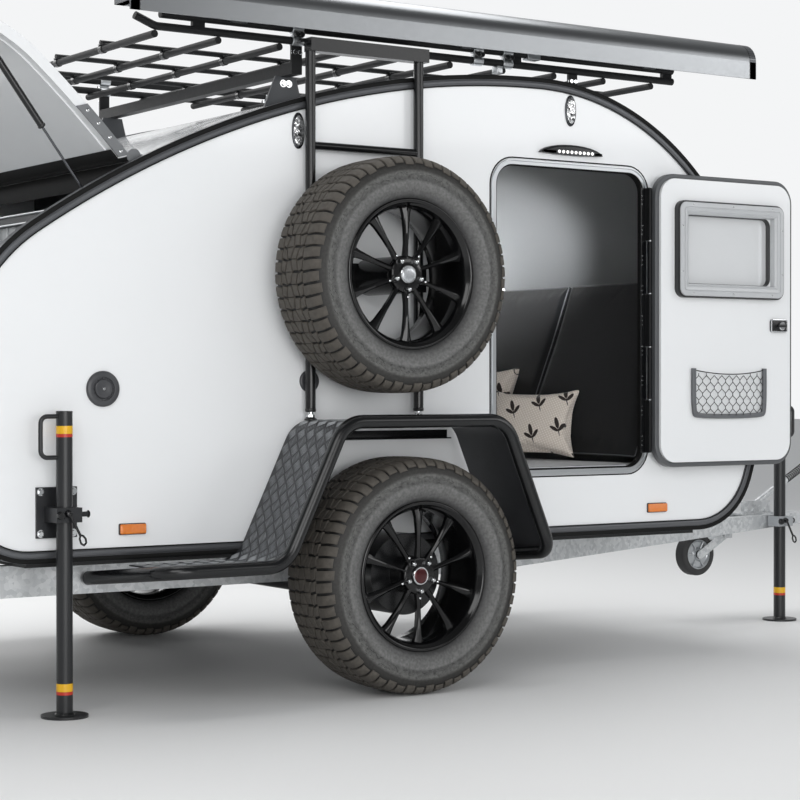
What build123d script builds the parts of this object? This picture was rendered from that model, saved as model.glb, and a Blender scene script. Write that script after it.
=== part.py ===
from build123d import *
import math
import os

# Teardrop trailer. Lengths in millimetres. While it is drawn, X runs forward from the axle,
# Y to the left from the middle and Z up from the ground. The last step moves the origin to the
# middle of the whole part's floor area.

# Body outline seen from the side: straight floor and tail, and five tangent arcs
FLOOR_Z = 468
CROWN_Z = 2101
CROWN_X = 727
NOSE_R = 1079
ROOF_R = 3535
TAIL_R = 580
TAIL_X = -1495
FRONT_CORNER_R = 278
NOSE_X = CROWN_X + NOSE_R
REAR_CORNER_R = 252

# Body panels
HALF_WIDTH = 760
SIDE_T = 30
SHELL_T = 30
FLOOR_T = 40
BULKHEAD_X = -560
BULKHEAD_T = 20
LINING_T = 6
TAIL_SILL_Z = 700
FIT = 0.3

# Edge moulding round each side panel
TRIM_W = 36
TRIM_T = 6
TRIM_LIP = 4
TRIM_WRAP = 31

# Hatch
HINGE_X = -870
HINGE_RISE = 12
HATCH_GAP = 10
HATCH_SEAM = 4
HATCH_T = 34
HATCH_LINER_T = 5
HATCH_RIM = 37
HATCH_OPEN = 75
BRACKET_T = 5
LUG_R = 24
BRACKET_LEN = 190
PIN_R = 5
EAR_BOSS_R = 8
EAR_T = 8
EAR_REACH = 40

# Gas struts: body pin, hatch pin in the open pose
STRUT_Y = HALF_WIDTH - 60
STRUT_PIN = (-1012, 1589)
STRUT_EYE = (-1372, 2076)
STRUT_R = 11
STRUT_ROD_R = 4
STRUT_BODY_LEN = 330
STRUT_STROKE = 183

# Door aperture and leaf, right side; the left side mirrors it
DOOR_X = 864
DOOR_Z = 1249
DOOR_W = 721
DOOR_H = 1125
DOOR_R = 94
DOOR_RING = 20
DOOR_FLANGE = 4
DOOR_HINGE_X = DOOR_X + DOOR_W / 2 - 12.5
DOOR_HINGE_OUT = 30
DOOR_HINGE_R = 5
DOOR_HINGE_PIN_R = 2.5
DOOR_HINGE_LEN = DOOR_H - 145
DOOR_KNUCKLE = DOOR_HINGE_LEN / 5
KNUCKLE_GAP = 1
LEAF_W = DOOR_W - 31
LEAF_H = DOOR_H - 41
LEAF_R = DOOR_R - 8
LEAF_T = 26
LEAF_STANDOFF = 8
LEAF_EDGE = 8
PLUG_MARGIN = 16
PLUG_T = 12
WINDOW_W = 526
WINDOW_H = 348
WINDOW_R = 30
WINDOW_DROP = 296.5
WINDOW_Z = DOOR_Z + DOOR_H / 2 - WINDOW_DROP
WINDOW_OUT = 359
WINDOW_FRAME = 45
WINDOW_FRAME_T = 14
PANE_T = 5
LATCH_OUT = 617
LATCH_Z = DOOR_Z - 12
LATCH_W = 80
LATCH_H = 45
LATCH_T = 16
POCKET_OUT = WINDOW_OUT
POCKET_DROP = 271
POCKET_Z = DOOR_Z - POCKET_DROP
POCKET_W = 378
POCKET_H = 189
POCKET_BAR = 12

# Wheels
AXLE_Z = 387.5
TYRE_R = 387.5
TYRE_W = 272
TREAD_W = 210
BEAD_R = 229
RIM_FLANGE_R = 246
RIM_FLANGE_T = 6
RIM_W = 236
RIM_WALL = 12
WHEEL_Y = HALF_WIDTH + 199
SPOKES = 10
SPOKE_FACE = 92
SPOKE_T = 26
HUB_R = 62
CAP_R = 27
DRUM_R = 135
DRUM_GAP = 8
STUB_R = 22
STUB_CLEAR = 0.05
NUT_COUNT = 5
NUT_PCD_R = 56
NUT_R = 11

# Axle and arms
AXLE_BEAM_X = 150
AXLE_BEAM_R = 42
AXLE_PAD_W = 70
ARM_IN = HALF_WIDTH - 55
ARM_T = 40
ARM_R = 46

# Chassis
CHASSIS_Z = 450
BEAM_T = 50
BEAM_WALL = 5
BEAM_LOW_Z = 331
AXLE_BEAM_Z = BEAM_LOW_Z - AXLE_BEAM_R - 1
BEAM_TAPER_X = 846
BEAM_TIP_LOW_Z = 410
BEAM_TIP_X = 2790
BEAM_TIP_Y = 24
BEAM_ROOT_Y = HALF_WIDTH - 160
RAIL_REAR_X = -1400
RAIL_H = 100
CROSS_W = 60
FRONT_CROSS_X = 1500

# Fender and its tube, as corners of the tube's centre line (X, Z)
FENDER_OUT = HALF_WIDTH + 320
FENDER_TUBE_R = 22
FENDER_BEND = 105
FENDER_STEP_Z = 445
FENDER_TOP_Z = 893
FENDER_REAR_X = -930
FENDER_FOOT_X = -526
FENDER_CREST_X = -308
FENDER_BROW_X = 328
FENDER_TIP_X = 518
FENDER_ROOT_Y = HALF_WIDTH - 120
PLATE_T = 4

# Ladder and spare wheel
LADDER_Y = HALF_WIDTH + 28
LADDER_R = 17
LADDER_X = (-257, 175)
LADDER_STUD = 26
LADDER_BEAM = 45
RUNG_Z = 1800
RUNG_R = 13
STUD_R = 9
SPARE_X = -41
SPARE_Z = 1370
LADDER_ARM_T = 12
LADDER_ARM_W = 40
LADDER_REACH = 10
SPARE_Y = LADDER_Y + 160
CARRIER_H = 90
CARRIER_T = 6

# Roof rack
RACK_Y = HALF_WIDTH - 40
RACK_REAR_X = -866
RACK_FRONT_X = 1380
RACK_TUBE_R = 13
RACK_LOW_Z = CROWN_Z + 49
RACK_TOP_Z = RACK_LOW_Z + 40
RACK_BEND = 60
RACK_RISE = 28
RACK_TOP_SHORT = 90
RACK_CLAMP_W = 44
RACK_CLAMP_T = 16
RACK_CLAMP_X = (-640, 640, RACK_FRONT_X - 30)
CROSS_TUBE_R = 12
CROSS_TUBE_OVER = 4
LONG_TUBE_R = 9
LONG_TUBE_YS = (-350, 0, 350)
CROSS_TUBE_X = -797
CROSS_TUBE_PITCH = 230
CROSS_TUBE_COUNT = 10
BEAM_REAR_X = -271
BEAM_FRONT_X = 900
BEAM_H = 38
BEAM_W = 40
POST_T = 10
REAR_BEAM_RISE = 83
FRONT_BEAM_RISE = 6
FOOT_Y = HALF_WIDTH - 110
FOOT_T = 8
FOOT_BASE = 210
FOOT_LEAN = 40
FOOT_DROP = 260

LADDER_TOP_Z = RACK_LOW_Z + 3 - LADDER_BEAM

# Awning case
AWNING_REAR_X = -948
AWNING_FRONT_X = 1680
AWNING_Y = RACK_Y + 25
AWNING_D = 113
AWNING_Z = RACK_TOP_Z + 7
AWNING_H = 108
AWNING_LIP = 29
AWNING_FLAT = 40
AWNING_SHOULDER_IN = 18
AWNING_SHOULDER_DROP = 26
AWNING_FACE = 34
AWNING_LIP_T = 7
AWNING_BRACKET_X = (-500, 420, 1250)
AWNING_BRACKET_W = 60
AWNING_BRACKET_T = 28

# Prop legs: X, Y of each
REAR_LEG = (-1156, HALF_WIDTH + 62)
FRONT_LEG = (2500, 152)
LEG_R = 25
LEG_TOP_Z = 931
LEG_CLEAR = 0.3
FOOT_DISC_R = 72
FOOT_DISC_T = 8
HANDLE_R = 7
HANDLE_OUT = 78
HANDLE_Z = (790, 915)
CLAMP_Z = (593, 638)
LEG_PLATE_W = 135
FRONT_PLATE_W = 60
LEG_PLATE_Z = (542, 698)
FRONT_CLAMP_Z = (405, 447)
LEG_LIFT = 250

# Jockey wheel, folded up between the beams
JOCKEY_PIVOT = (2300, 372)
JOCKEY_HUB = (2150, 289)
JOCKEY_R = 90
JOCKEY_W = 56
JOCKEY_RIM_R = 64
FORK_T = 6
FORK_W = 34
FORK_SIDE = 5
FORK_WEB_IN = 4
JOCKEY_PIN_R = 8
JOCKEY_PIN_OUT = 6
JOCKEY_HUB_R = 18
JOCKEY_EDGE_R = 12
JOCKEY_PLATE_REAR = 30
JOCKEY_PLATE_FRONT = 60
JOCKEY_PLATE_T = 10
JOCKEY_EAR_W = 40
JOCKEY_EAR_T = 8
JOCKEY_EAR_UP = 30
JOCKEY_EAR_DOWN = 18
JOCKEY_EAR_GAP = 2

# Coupling and handbrake lever
COUPLING_LEN = 170
COUPLING_W = 96
BALL_R = 25
BALL_CLEAR = 0.4
BALL_Z = 405
LEVER_FOOT = (2440, 470)
LEVER_TIP = (2755, 655)
LEVER_PLATE_Y = 50
LEVER_PLATE_T = 12
LEVER_PLATE_REAR = 70
LEVER_PLATE_FRONT = 90
LEVER_PLATE_H = 40
LEVER_DECK_Y = 70
LEVER_DECK_REACH = 10
LEVER_DECK_T = 8
LEVER_R = 14
LEVER_BOSS_R = 18

# Cabin furniture
BED_TOP_Z = 610
MATTRESS_T = 110
NOSE_TO_MATTRESS = 386
NOSE_TO_BACKREST = 612
MATTRESS_FRONT_X = NOSE_X - NOSE_TO_MATTRESS
BACKREST_LEAN = 21
BACKREST_FOOT_X = NOSE_X - NOSE_TO_BACKREST
BACKREST_T = 110
BACKREST_H = 770
SOFT_GAP = 0.3
PILLOW_LONG = 420
PILLOW_SHORT = 320
PILLOW_T = 130
PILLOW_RIGHT_Y = -300
PILLOW_LEFT_Y = 200

# Galley
DRAWER_SIDE = 20
DRAWER_GAP = 17
DRAWER_H = 128
DRAWER_T = 16
DRAWER_ROWS_Z = (600, 738, 876)
WORKTOP_Z = 1035
WORKTOP_T = 25
CABINET_REAR_X = -1400
SHELF_X = -975
SHELF_Z = 1480
SHELF_TOP_Z = 1590
SHELF_T = 15

# Caps and lamps on the sides and tail
CAPS = (
    # x, z, radius, depth
    (-998, 998, 56, 14),
    (-246, 1023, 37, 9),
)
LAMPS = (
    # x, z, width, height, corner radius, depth
    (-288, 1848, 48, 120, 23, 9),
    (859, CROWN_Z - 103, 48, 112, 23, 9),
    (-896, 559, 95, 36, 6, 14),
    (1271, 554, 95, 36, 6, 14),
)
PORCH_LAMP_X = DOOR_X - 8
PORCH_LAMP_Z = DOOR_Z + DOOR_H / 2 + 43.5
PORCH_LAMP_W = 286
PORCH_LAMP_H = 38
PORCH_LAMP_R = 17
PORCH_LAMP_D = 26
REAR_LAMP_Y = HALF_WIDTH - 200
REAR_LAMP_Z = 625
REAR_LAMP_W = 220
REAR_LAMP_H = 90
REAR_LAMP_R = 20
REAR_LAMP_T = 14

INNER_Y = HALF_WIDTH - SIDE_T


def block(x0, x1, y0, y1, z0, z1):
    """A block between two corners."""
    middle = Pos((x0 + x1) / 2, (y0 + y1) / 2, (z0 + z1) / 2)
    return middle * Box(x1 - x0, y1 - y0, z1 - z0)


def side_slab(face, y_low, y_high):
    """An outline in X and Z, thickened from y_low to y_high."""
    return extrude(Plane.XZ.offset(-y_high) * face, y_high - y_low, dir=(0, -1, 0))


def rod(start, end, radius):
    """A round bar from one point to another."""
    start, end = Vector(*start), Vector(*end)
    plane = Plane(origin=start, z_dir=end - start)
    return extrude(plane * Circle(radius), (end - start).length)


def bent_tube(points, bend, radius):
    """A tube along straight runs joined by arcs."""
    path = FilletPolyline(*points, radius=bend)
    return sweep(Plane(origin=path @ 0, z_dir=path % 0) * Circle(radius), path=path)


def left(shape):
    """The mirror image of a right-hand piece."""
    return mirror(shape, about=Plane.XZ)


def together(*shapes):
    """Several pieces in one node, as separate solids."""
    return Compound([solid for shape in shapes for solid in shape.solids()])


def pair(shape):
    """A right-hand piece and its mirror image in one node."""
    return together(shape, left(shape))


def arc(centre, start, end):
    """The shorter arc about centre from start to end."""
    radius = (start - centre).length
    middle = centre + ((start - centre) + (end - centre)).normalized() * radius
    return ThreePointArc(start, middle, end)


NOSE_C = Vector(CROWN_X, CROWN_Z - NOSE_R)
ROOF_C = Vector(CROWN_X, CROWN_Z - ROOF_R)
TAIL_C_X = TAIL_X + TAIL_R
TAIL_C = Vector(TAIL_C_X, ROOF_C.Y + math.sqrt((ROOF_R - TAIL_R) ** 2 - (CROWN_X - TAIL_C_X) ** 2))
FRONT_C_Z = FLOOR_Z + FRONT_CORNER_R
FRONT_C_X = CROWN_X + math.sqrt((NOSE_R - FRONT_CORNER_R) ** 2 - (NOSE_C.Y - FRONT_C_Z) ** 2)
FRONT_C = Vector(FRONT_C_X, FRONT_C_Z)
REAR_C = Vector(TAIL_X + REAR_CORNER_R, FLOOR_Z + REAR_CORNER_R)


def outline(inset):
    """The teardrop outline as a face in X and Z, moved inwards by inset."""
    floor_rear = Vector(REAR_C.X, FLOOR_Z + inset)
    floor_front = Vector(FRONT_C.X, FLOOR_Z + inset)
    nose_foot = NOSE_C + (FRONT_C - NOSE_C).normalized() * (NOSE_R - inset)
    crown = Vector(CROWN_X, CROWN_Z - inset)
    roof_end = ROOF_C + (TAIL_C - ROOF_C).normalized() * (ROOF_R - inset)
    tail_top = Vector(TAIL_X + inset, TAIL_C.Y)
    tail_foot = Vector(TAIL_X + inset, REAR_C.Y)
    edges = [
        Line(floor_rear, floor_front),
        arc(FRONT_C, floor_front, nose_foot),
        arc(NOSE_C, nose_foot, crown),
        arc(ROOF_C, crown, roof_end),
        arc(TAIL_C, roof_end, tail_top),
        Line(tail_top, tail_foot),
        arc(REAR_C, tail_foot, floor_rear),
    ]
    return Face(Wire(edges))


def roof_z(x):
    """Height of the outer roof surface at x, behind the crown or ahead of it."""
    centre, radius = (ROOF_C, ROOF_R) if x < CROWN_X else (NOSE_C, NOSE_R)
    return centre.Y + math.sqrt(radius ** 2 - (x - centre.X) ** 2)


def rounded(x, z, width, height, radius):
    """A rounded rectangle standing in X and Z."""
    return Pos(x, z) * RectangleRounded(width, height, radius)


HINGE_Z = roof_z(HINGE_X) + HINGE_RISE
BODY_FAR = 4000
parts = {}


# Body shell

def side_panel():
    """Right side panel with the door aperture."""
    panel = side_slab(outline(0), -HALF_WIDTH, -INNER_Y)
    hole = rounded(DOOR_X, DOOR_Z, DOOR_W - 2 * DOOR_FLANGE, DOOR_H - 2 * DOOR_FLANGE, DOOR_R)
    return panel - side_slab(hole, -HALF_WIDTH - 1, -INNER_Y + 1)


def shell_ring(outer, inner, half):
    """The outline's skin between two insets, over the body's inner width."""
    return side_slab(outline(outer), -half, half) - side_slab(outline(inner), -half - 1, half + 1)


def edge_trim():
    """Moulding on the rim of the right side panel, wrapped over the roof's edge."""
    face = side_slab(outline(-TRIM_LIP), -HALF_WIDTH - TRIM_T, -HALF_WIDTH)
    face -= side_slab(outline(TRIM_W), -HALF_WIDTH - TRIM_T - 1, -HALF_WIDTH + 1)
    lip_inner = -HALF_WIDTH + TRIM_WRAP - TRIM_T
    lip = side_slab(outline(-TRIM_LIP), -HALF_WIDTH, lip_inner)
    lip -= side_slab(outline(0), -HALF_WIDTH - 1, lip_inner + 1)
    return face + lip


floor_cut = FLOOR_Z + FLOOR_T
below_floor = block(-BODY_FAR, BODY_FAR, -INNER_Y - 5, INNER_Y + 5, 0, floor_cut)
hatch_zone = block(-BODY_FAR, HINGE_X, -INNER_Y - 5, INNER_Y + 5, TAIL_SILL_Z, BODY_FAR)
tail_zone = block(-BODY_FAR, HINGE_X, -INNER_Y - 5, INNER_Y + 5, floor_cut, TAIL_SILL_Z)
skin = shell_ring(0, SHELL_T, INNER_Y)

parts["side_panel_right"] = side_panel()
parts["side_panel_left"] = left(side_panel())
parts["edge_trims"] = pair(edge_trim())
notch = block(HINGE_X - 1, HINGE_X + LUG_R + 8, -INNER_Y, -INNER_Y + HATCH_GAP + 2, 0, BODY_FAR)
roof = skin - below_floor - hatch_zone - tail_zone - notch - left(notch)
parts["roof_and_tail_shell"] = together(roof, skin & tail_zone)
floor_board = block(REAR_C.X, FRONT_C.X, -INNER_Y, INNER_Y, CHASSIS_Z, FLOOR_Z)
parts["floor_panel"] = (side_slab(outline(0), -INNER_Y, INNER_Y) & below_floor) + floor_board

cabin_inside = side_slab(outline(SHELL_T), -INNER_Y, INNER_Y)
bulkhead = block(BULKHEAD_X, BULKHEAD_X + BULKHEAD_T, -INNER_Y, INNER_Y, floor_cut, BODY_FAR)
parts["bulkhead"] = bulkhead & cabin_inside

lining = shell_ring(SHELL_T, SHELL_T + LINING_T, INNER_Y)
lining_zone = block(BULKHEAD_X + BULKHEAD_T, BODY_FAR, -INNER_Y, INNER_Y, floor_cut, BODY_FAR)
parts["cabin_lining"] = lining & lining_zone


# Doors

def door_frame():
    """Aluminium ring in the aperture, with a flange on the side and the fixed hinge knuckle."""
    depth_in, depth_out = -INNER_Y, -HALF_WIDTH - DOOR_FLANGE
    ring_w, ring_h = DOOR_W - 2 * DOOR_FLANGE - 2 * FIT, DOOR_H - 2 * DOOR_FLANGE - 2 * FIT
    ring = side_slab(rounded(DOOR_X, DOOR_Z, ring_w, ring_h, DOOR_R - FIT), depth_out, depth_in)
    flange = rounded(DOOR_X, DOOR_Z, DOOR_W, DOOR_H, DOOR_R + DOOR_FLANGE)
    ring += side_slab(flange, depth_out, -HALF_WIDTH)
    opening = rounded(DOOR_X, DOOR_Z, DOOR_W - 2 * DOOR_RING, DOOR_H - 2 * DOOR_RING,
                      DOOR_R - DOOR_RING)
    ring -= side_slab(opening, depth_out - 1, depth_in + 1)
    low, high = DOOR_Z - DOOR_HINGE_LEN / 2, DOOR_Z + DOOR_HINGE_LEN / 2
    hinge_y = -HALF_WIDTH - DOOR_HINGE_OUT
    for z in (low, low + 2 * DOOR_KNUCKLE, low + 4 * DOOR_KNUCKLE):
        top = z + DOOR_KNUCKLE
        ring += block(DOOR_HINGE_X - 2, DOOR_HINGE_X + 2, hinge_y, depth_out, z, top)
        ring += rod((DOOR_HINGE_X, hinge_y, z), (DOOR_HINGE_X, hinge_y, top), DOOR_HINGE_R)
    return ring + rod((DOOR_HINGE_X, hinge_y, low), (DOOR_HINGE_X, hinge_y, high), DOOR_HINGE_PIN_R)


LEAF_X = DOOR_HINGE_X - LEAF_EDGE - LEAF_W / 2
LEAF_IN = -HALF_WIDTH - LEAF_STANDOFF
LEAF_OUT = LEAF_IN - LEAF_T
WINDOW_X = DOOR_HINGE_X - WINDOW_OUT


def door_leaf():
    """Closed right leaf: slab with the raised inner panel, the window hole and two knuckles."""
    slab = side_slab(rounded(LEAF_X, DOOR_Z, LEAF_W, LEAF_H, LEAF_R), LEAF_OUT, LEAF_IN)
    plug = rounded(LEAF_X, DOOR_Z, LEAF_W - 2 * PLUG_MARGIN, LEAF_H - 2 * PLUG_MARGIN,
                   LEAF_R - PLUG_MARGIN)
    leaf = slab + side_slab(plug, LEAF_IN, LEAF_IN + PLUG_T)
    hole = rounded(WINDOW_X, WINDOW_Z, WINDOW_W - 2 * WINDOW_FRAME, WINDOW_H - 2 * WINDOW_FRAME,
                   WINDOW_R)
    leaf -= side_slab(hole, LEAF_OUT - 1, LEAF_IN + PLUG_T + 1)
    low, hinge_y = DOOR_Z - DOOR_HINGE_LEN / 2, -HALF_WIDTH - DOOR_HINGE_OUT
    for z in (low + DOOR_KNUCKLE, low + 3 * DOOR_KNUCKLE):
        bottom, top = z + KNUCKLE_GAP, z + DOOR_KNUCKLE - KNUCKLE_GAP
        leaf += block(DOOR_HINGE_X - LEAF_EDGE, DOOR_HINGE_X, hinge_y - 2, hinge_y + 2, bottom, top)
        leaf += rod((DOOR_HINGE_X, hinge_y, bottom), (DOOR_HINGE_X, hinge_y, top), DOOR_HINGE_R)
    pin_r = DOOR_HINGE_PIN_R + STUB_CLEAR
    return leaf - rod((DOOR_HINGE_X, hinge_y, low), (DOOR_HINGE_X, hinge_y, low + DOOR_HINGE_LEN), pin_r)


def window_frame():
    """Window surround on the inner face and a slimmer one outside."""
    outer = rounded(WINDOW_X, WINDOW_Z, WINDOW_W, WINDOW_H, WINDOW_R)
    inner = rounded(WINDOW_X, WINDOW_Z, WINDOW_W - 2 * WINDOW_FRAME, WINDOW_H - 2 * WINDOW_FRAME,
                    WINDOW_R)
    face_in = LEAF_IN + PLUG_T
    ring = side_slab(outer, face_in, face_in + WINDOW_FRAME_T)
    ring += side_slab(outer, LEAF_OUT - WINDOW_FRAME_T / 2, LEAF_OUT)
    return ring - side_slab(inner, LEAF_OUT - WINDOW_FRAME_T, face_in + WINDOW_FRAME_T + 1)


def window_pane():
    """Tinted pane in the leaf's hole."""
    pane = rounded(WINDOW_X, WINDOW_Z, WINDOW_W - 2 * WINDOW_FRAME - 2 * FIT,
                   WINDOW_H - 2 * WINDOW_FRAME - 2 * FIT, WINDOW_R - FIT)
    middle = (LEAF_IN + LEAF_OUT) / 2
    return side_slab(pane, middle - PANE_T / 2, middle + PANE_T / 2)


def door_fittings():
    """Inner latch, outer handle and the pocket's bent frame."""
    face_in = LEAF_IN + PLUG_T
    latch_x = DOOR_HINGE_X - LATCH_OUT
    latch = side_slab(rounded(latch_x, LATCH_Z, LATCH_W, LATCH_H, 10), face_in, face_in + LATCH_T)
    handle = side_slab(rounded(latch_x, LATCH_Z, LATCH_W, LATCH_H, 10), LEAF_OUT - LATCH_T, LEAF_OUT)
    pocket_x = DOOR_HINGE_X - POCKET_OUT
    outer = rounded(pocket_x, POCKET_Z, POCKET_W, POCKET_H, 24)
    inner = rounded(pocket_x, POCKET_Z + POCKET_BAR, POCKET_W - 2 * POCKET_BAR, POCKET_H, 14)
    pocket = side_slab(outer, face_in, face_in + POCKET_BAR)
    pocket -= side_slab(inner, face_in - 1, face_in + POCKET_BAR + 1)
    return together(latch, handle, pocket)


door_axis = Axis((DOOR_HINGE_X, -HALF_WIDTH - DOOR_HINGE_OUT, 0), (0, 0, 1))
parts["door_frames"] = pair(door_frame())
for name, shape in (
    ("leaf", door_leaf()),
    ("window", window_pane()),
    ("fittings", together(window_frame(), door_fittings())),
):
    parts["door_" + name + "_right"] = shape.rotate(door_axis, 180)
    parts["door_" + name + "_left"] = left(shape)


# Hatch

def opened(shape):
    """Turn a hatch piece from its closed place to the open one."""
    axis = Axis((HINGE_X, 0, HINGE_Z), (0, 1, 0))
    return shape.rotate(axis, HATCH_OPEN)


hatch_half = INNER_Y - HATCH_GAP
hatch_span = block(-BODY_FAR, HINGE_X - HATCH_SEAM, -hatch_half, hatch_half,
                   TAIL_SILL_Z + HATCH_SEAM, BODY_FAR)
liner_half = hatch_half - HATCH_RIM
liner_span = block(-BODY_FAR, HINGE_X - HATCH_RIM, -liner_half, liner_half,
                   TAIL_SILL_Z + HATCH_RIM, BODY_FAR)
parts["hatch_shell"] = opened(shell_ring(0, HATCH_T, hatch_half) & hatch_span)
liner = shell_ring(HATCH_T, HATCH_T + HATCH_LINER_T, liner_half)
parts["hatch_liner"] = opened(liner & liner_span)


def hatch_bracket():
    """Right arm on the hatch's edge with its lug round the hinge pin, and the strut's upper pin."""
    y_out = -hatch_half - BRACKET_T
    strip = side_slab(outline(0), y_out, -hatch_half) - side_slab(outline(HATCH_T), y_out - 1, 0)
    strip &= block(HINGE_X - BRACKET_LEN, HINGE_X - 8, y_out, -hatch_half, TAIL_SILL_Z, BODY_FAR)
    lug = rod((HINGE_X, y_out, HINGE_Z), (HINGE_X, -hatch_half, HINGE_Z), LUG_R)
    lug -= rod((HINGE_X, y_out - 1, HINGE_Z), (HINGE_X, 0, HINGE_Z), PIN_R + STUB_CLEAR)
    return opened(strip + lug)


def hinge_ear():
    """Ear on the roof that holds the right hinge pin."""
    y_out = -hatch_half + 2
    ear = block(HINGE_X, HINGE_X + EAR_REACH, y_out, y_out + EAR_T, HINGE_Z - EAR_REACH,
                HINGE_Z + EAR_BOSS_R)
    ear -= side_slab(outline(-FIT), -INNER_Y - 1, INNER_Y)
    ear += rod((HINGE_X, y_out, HINGE_Z), (HINGE_X, y_out + EAR_T, HINGE_Z), EAR_BOSS_R)
    return ear + rod((HINGE_X, y_out, HINGE_Z), (HINGE_X, -hatch_half - BRACKET_T, HINGE_Z), PIN_R)


def strut_mount():
    """Plate on the hatch's inner face with the pin for the right strut's cylinder."""
    eye = Vector(*STRUT_EYE)
    plate = block(eye.X - 14, eye.X + 14, -STRUT_Y - 18, -STRUT_Y - 12, eye.Y - 12, eye.Y + 60)
    plate &= opened(side_slab(outline(HATCH_T), -INNER_Y, INNER_Y))
    return plate + rod((eye.X, -STRUT_Y - 12, eye.Y), (eye.X, -STRUT_Y + 10, eye.Y), PIN_R)


def strut_along(shape):
    """Place a strut piece drawn along X from the hatch pin."""
    eye, pin = Vector(*STRUT_EYE), Vector(*STRUT_PIN)
    lean = math.degrees(math.atan2(pin.Y - eye.Y, pin.X - eye.X))
    return Pos(eye.X, -STRUT_Y, eye.Y) * Rot(0, -lean, 0) * shape


STRUT_LEN = math.dist(STRUT_EYE, STRUT_PIN)


def strut_cylinder():
    """Right strut's cylinder with the eye on the hatch pin."""
    body = rod((8, 0, 0), (STRUT_BODY_LEN, 0, 0), STRUT_R)
    body += rod((0, -6, 0), (0, 6, 0), STRUT_R)
    body -= rod((0, -7, 0), (0, 7, 0), PIN_R + STUB_CLEAR)
    bore_end = STRUT_BODY_LEN + 1
    return strut_along(body - rod((30, 0, 0), (bore_end, 0, 0), STRUT_ROD_R + FIT))


def strut_rod():
    """Right strut's rod with its end eye."""
    body = rod((STRUT_BODY_LEN - 30, 0, 0), (STRUT_LEN - 6, 0, 0), STRUT_ROD_R)
    return strut_along(body + rod((STRUT_LEN, -4, 0), (STRUT_LEN, 4, 0), 9))


def strut_stud():
    """Ball stud on the side panel, just outside the rod's eye."""
    x, z = STRUT_PIN
    return rod((x, -INNER_Y, z), (x, -STRUT_Y - 9, z), PIN_R + 2)


parts["hatch_brackets"] = pair(together(hatch_bracket(), strut_mount()))
parts["hatch_hinges"] = pair(together(hinge_ear(), strut_stud()))
parts["strut_cylinders"] = pair(strut_cylinder())
parts["strut_rods"] = pair(strut_rod())


# Wheels

def ring_about_y(points):
    """A ring turned about the Y axis from corners given as (Y, radius)."""
    corners = [(radius, y) for y, radius in points]
    return revolve(make_face(Polyline(*corners, close=True)), Axis.Y)


def tyre():
    """Tyre about the origin, its axis along Y: bulged side walls and a flat tread."""
    half, bead, tread = TYRE_W / 2, RIM_W / 2 - RIM_FLANGE_T, TREAD_W / 2
    bulge_r = (TYRE_R + BEAD_R) / 2
    shoulder_r = TYRE_R - 16
    section = [
        Line((BEAD_R + FIT, -bead + FIT), (BEAD_R + FIT, bead - FIT)),
        Line((BEAD_R + FIT, bead - FIT), (RIM_FLANGE_R, bead - FIT)),
        ThreePointArc((RIM_FLANGE_R, bead - FIT), (bulge_r, half), (shoulder_r, half - 10)),
        Line((shoulder_r, half - 10), (TYRE_R, tread)),
        Line((TYRE_R, tread), (TYRE_R, -tread)),
        Line((TYRE_R, -tread), (shoulder_r, 10 - half)),
        ThreePointArc((shoulder_r, 10 - half), (bulge_r, -half), (RIM_FLANGE_R, FIT - bead)),
        Line((RIM_FLANGE_R, FIT - bead), (BEAD_R + FIT, -bead + FIT)),
    ]
    return revolve(Face(Wire(section)), Axis.Y)


def rim():
    """Alloy rim about the origin, its outer face towards -Y: barrel, flanges, spokes, nuts, cap."""
    half, flange = RIM_W / 2, RIM_FLANGE_T
    barrel = ring_about_y([
        (-half, BEAD_R - RIM_WALL), (-half, RIM_FLANGE_R), (-half + flange, RIM_FLANGE_R),
        (-half + flange, BEAD_R), (half - flange, BEAD_R), (half - flange, RIM_FLANGE_R),
        (half, RIM_FLANGE_R), (half, BEAD_R - RIM_WALL),
    ])
    face, back = -SPOKE_FACE, -SPOKE_FACE + SPOKE_T
    centre = rod((0, face, 0), (0, back, 0), HUB_R)
    inner_r, outer_r = HUB_R - 8, BEAD_R - RIM_WALL + 3
    spoke_face = Polyline((inner_r, -9), (outer_r, -20), (outer_r, 20), (inner_r, 9), close=True)
    spoke = side_slab(make_face(spoke_face), face - 6, back)
    body = barrel + centre
    for index in range(SPOKES):
        body += spoke.rotate(Axis.Y, index * 360 / SPOKES)
    for index in range(NUT_COUNT):
        nut = rod((NUT_PCD_R - 8, face - 14, 0), (NUT_PCD_R - 8, face, 0), NUT_R)
        body += nut.rotate(Axis.Y, (index + 0.5) * 360 / NUT_COUNT)
    return body + rod((0, face - 10, 0), (0, face, 0), CAP_R)


def drum():
    """Hub and brake drum behind the spokes, bored for the stub axle."""
    back = -SPOKE_FACE + SPOKE_T
    inner_end = WHEEL_Y - HALF_WIDTH - TRIM_T - DRUM_GAP
    shape = rod((0, back, 0), (0, back + 60, 0), HUB_R)
    shape += rod((0, back + 60, 0), (0, inner_end, 0), DRUM_R)
    return shape - rod((0, back + 20, 0), (0, inner_end + 1, 0), STUB_R + STUB_CLEAR)


wheel_place = Pos(0, -WHEEL_Y, AXLE_Z)
for name, shape in (("tyre", tyre()), ("rim", rim()), ("hub_drum", drum())):
    parts[name + "_right"] = wheel_place * shape
    parts[name + "_left"] = left(wheel_place * shape)
spare_place = Pos(SPARE_X, -SPARE_Y, SPARE_Z)
parts["tyre_spare"] = spare_place * tyre()
parts["rim_spare"] = spare_place * rim()


# Axle

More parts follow.
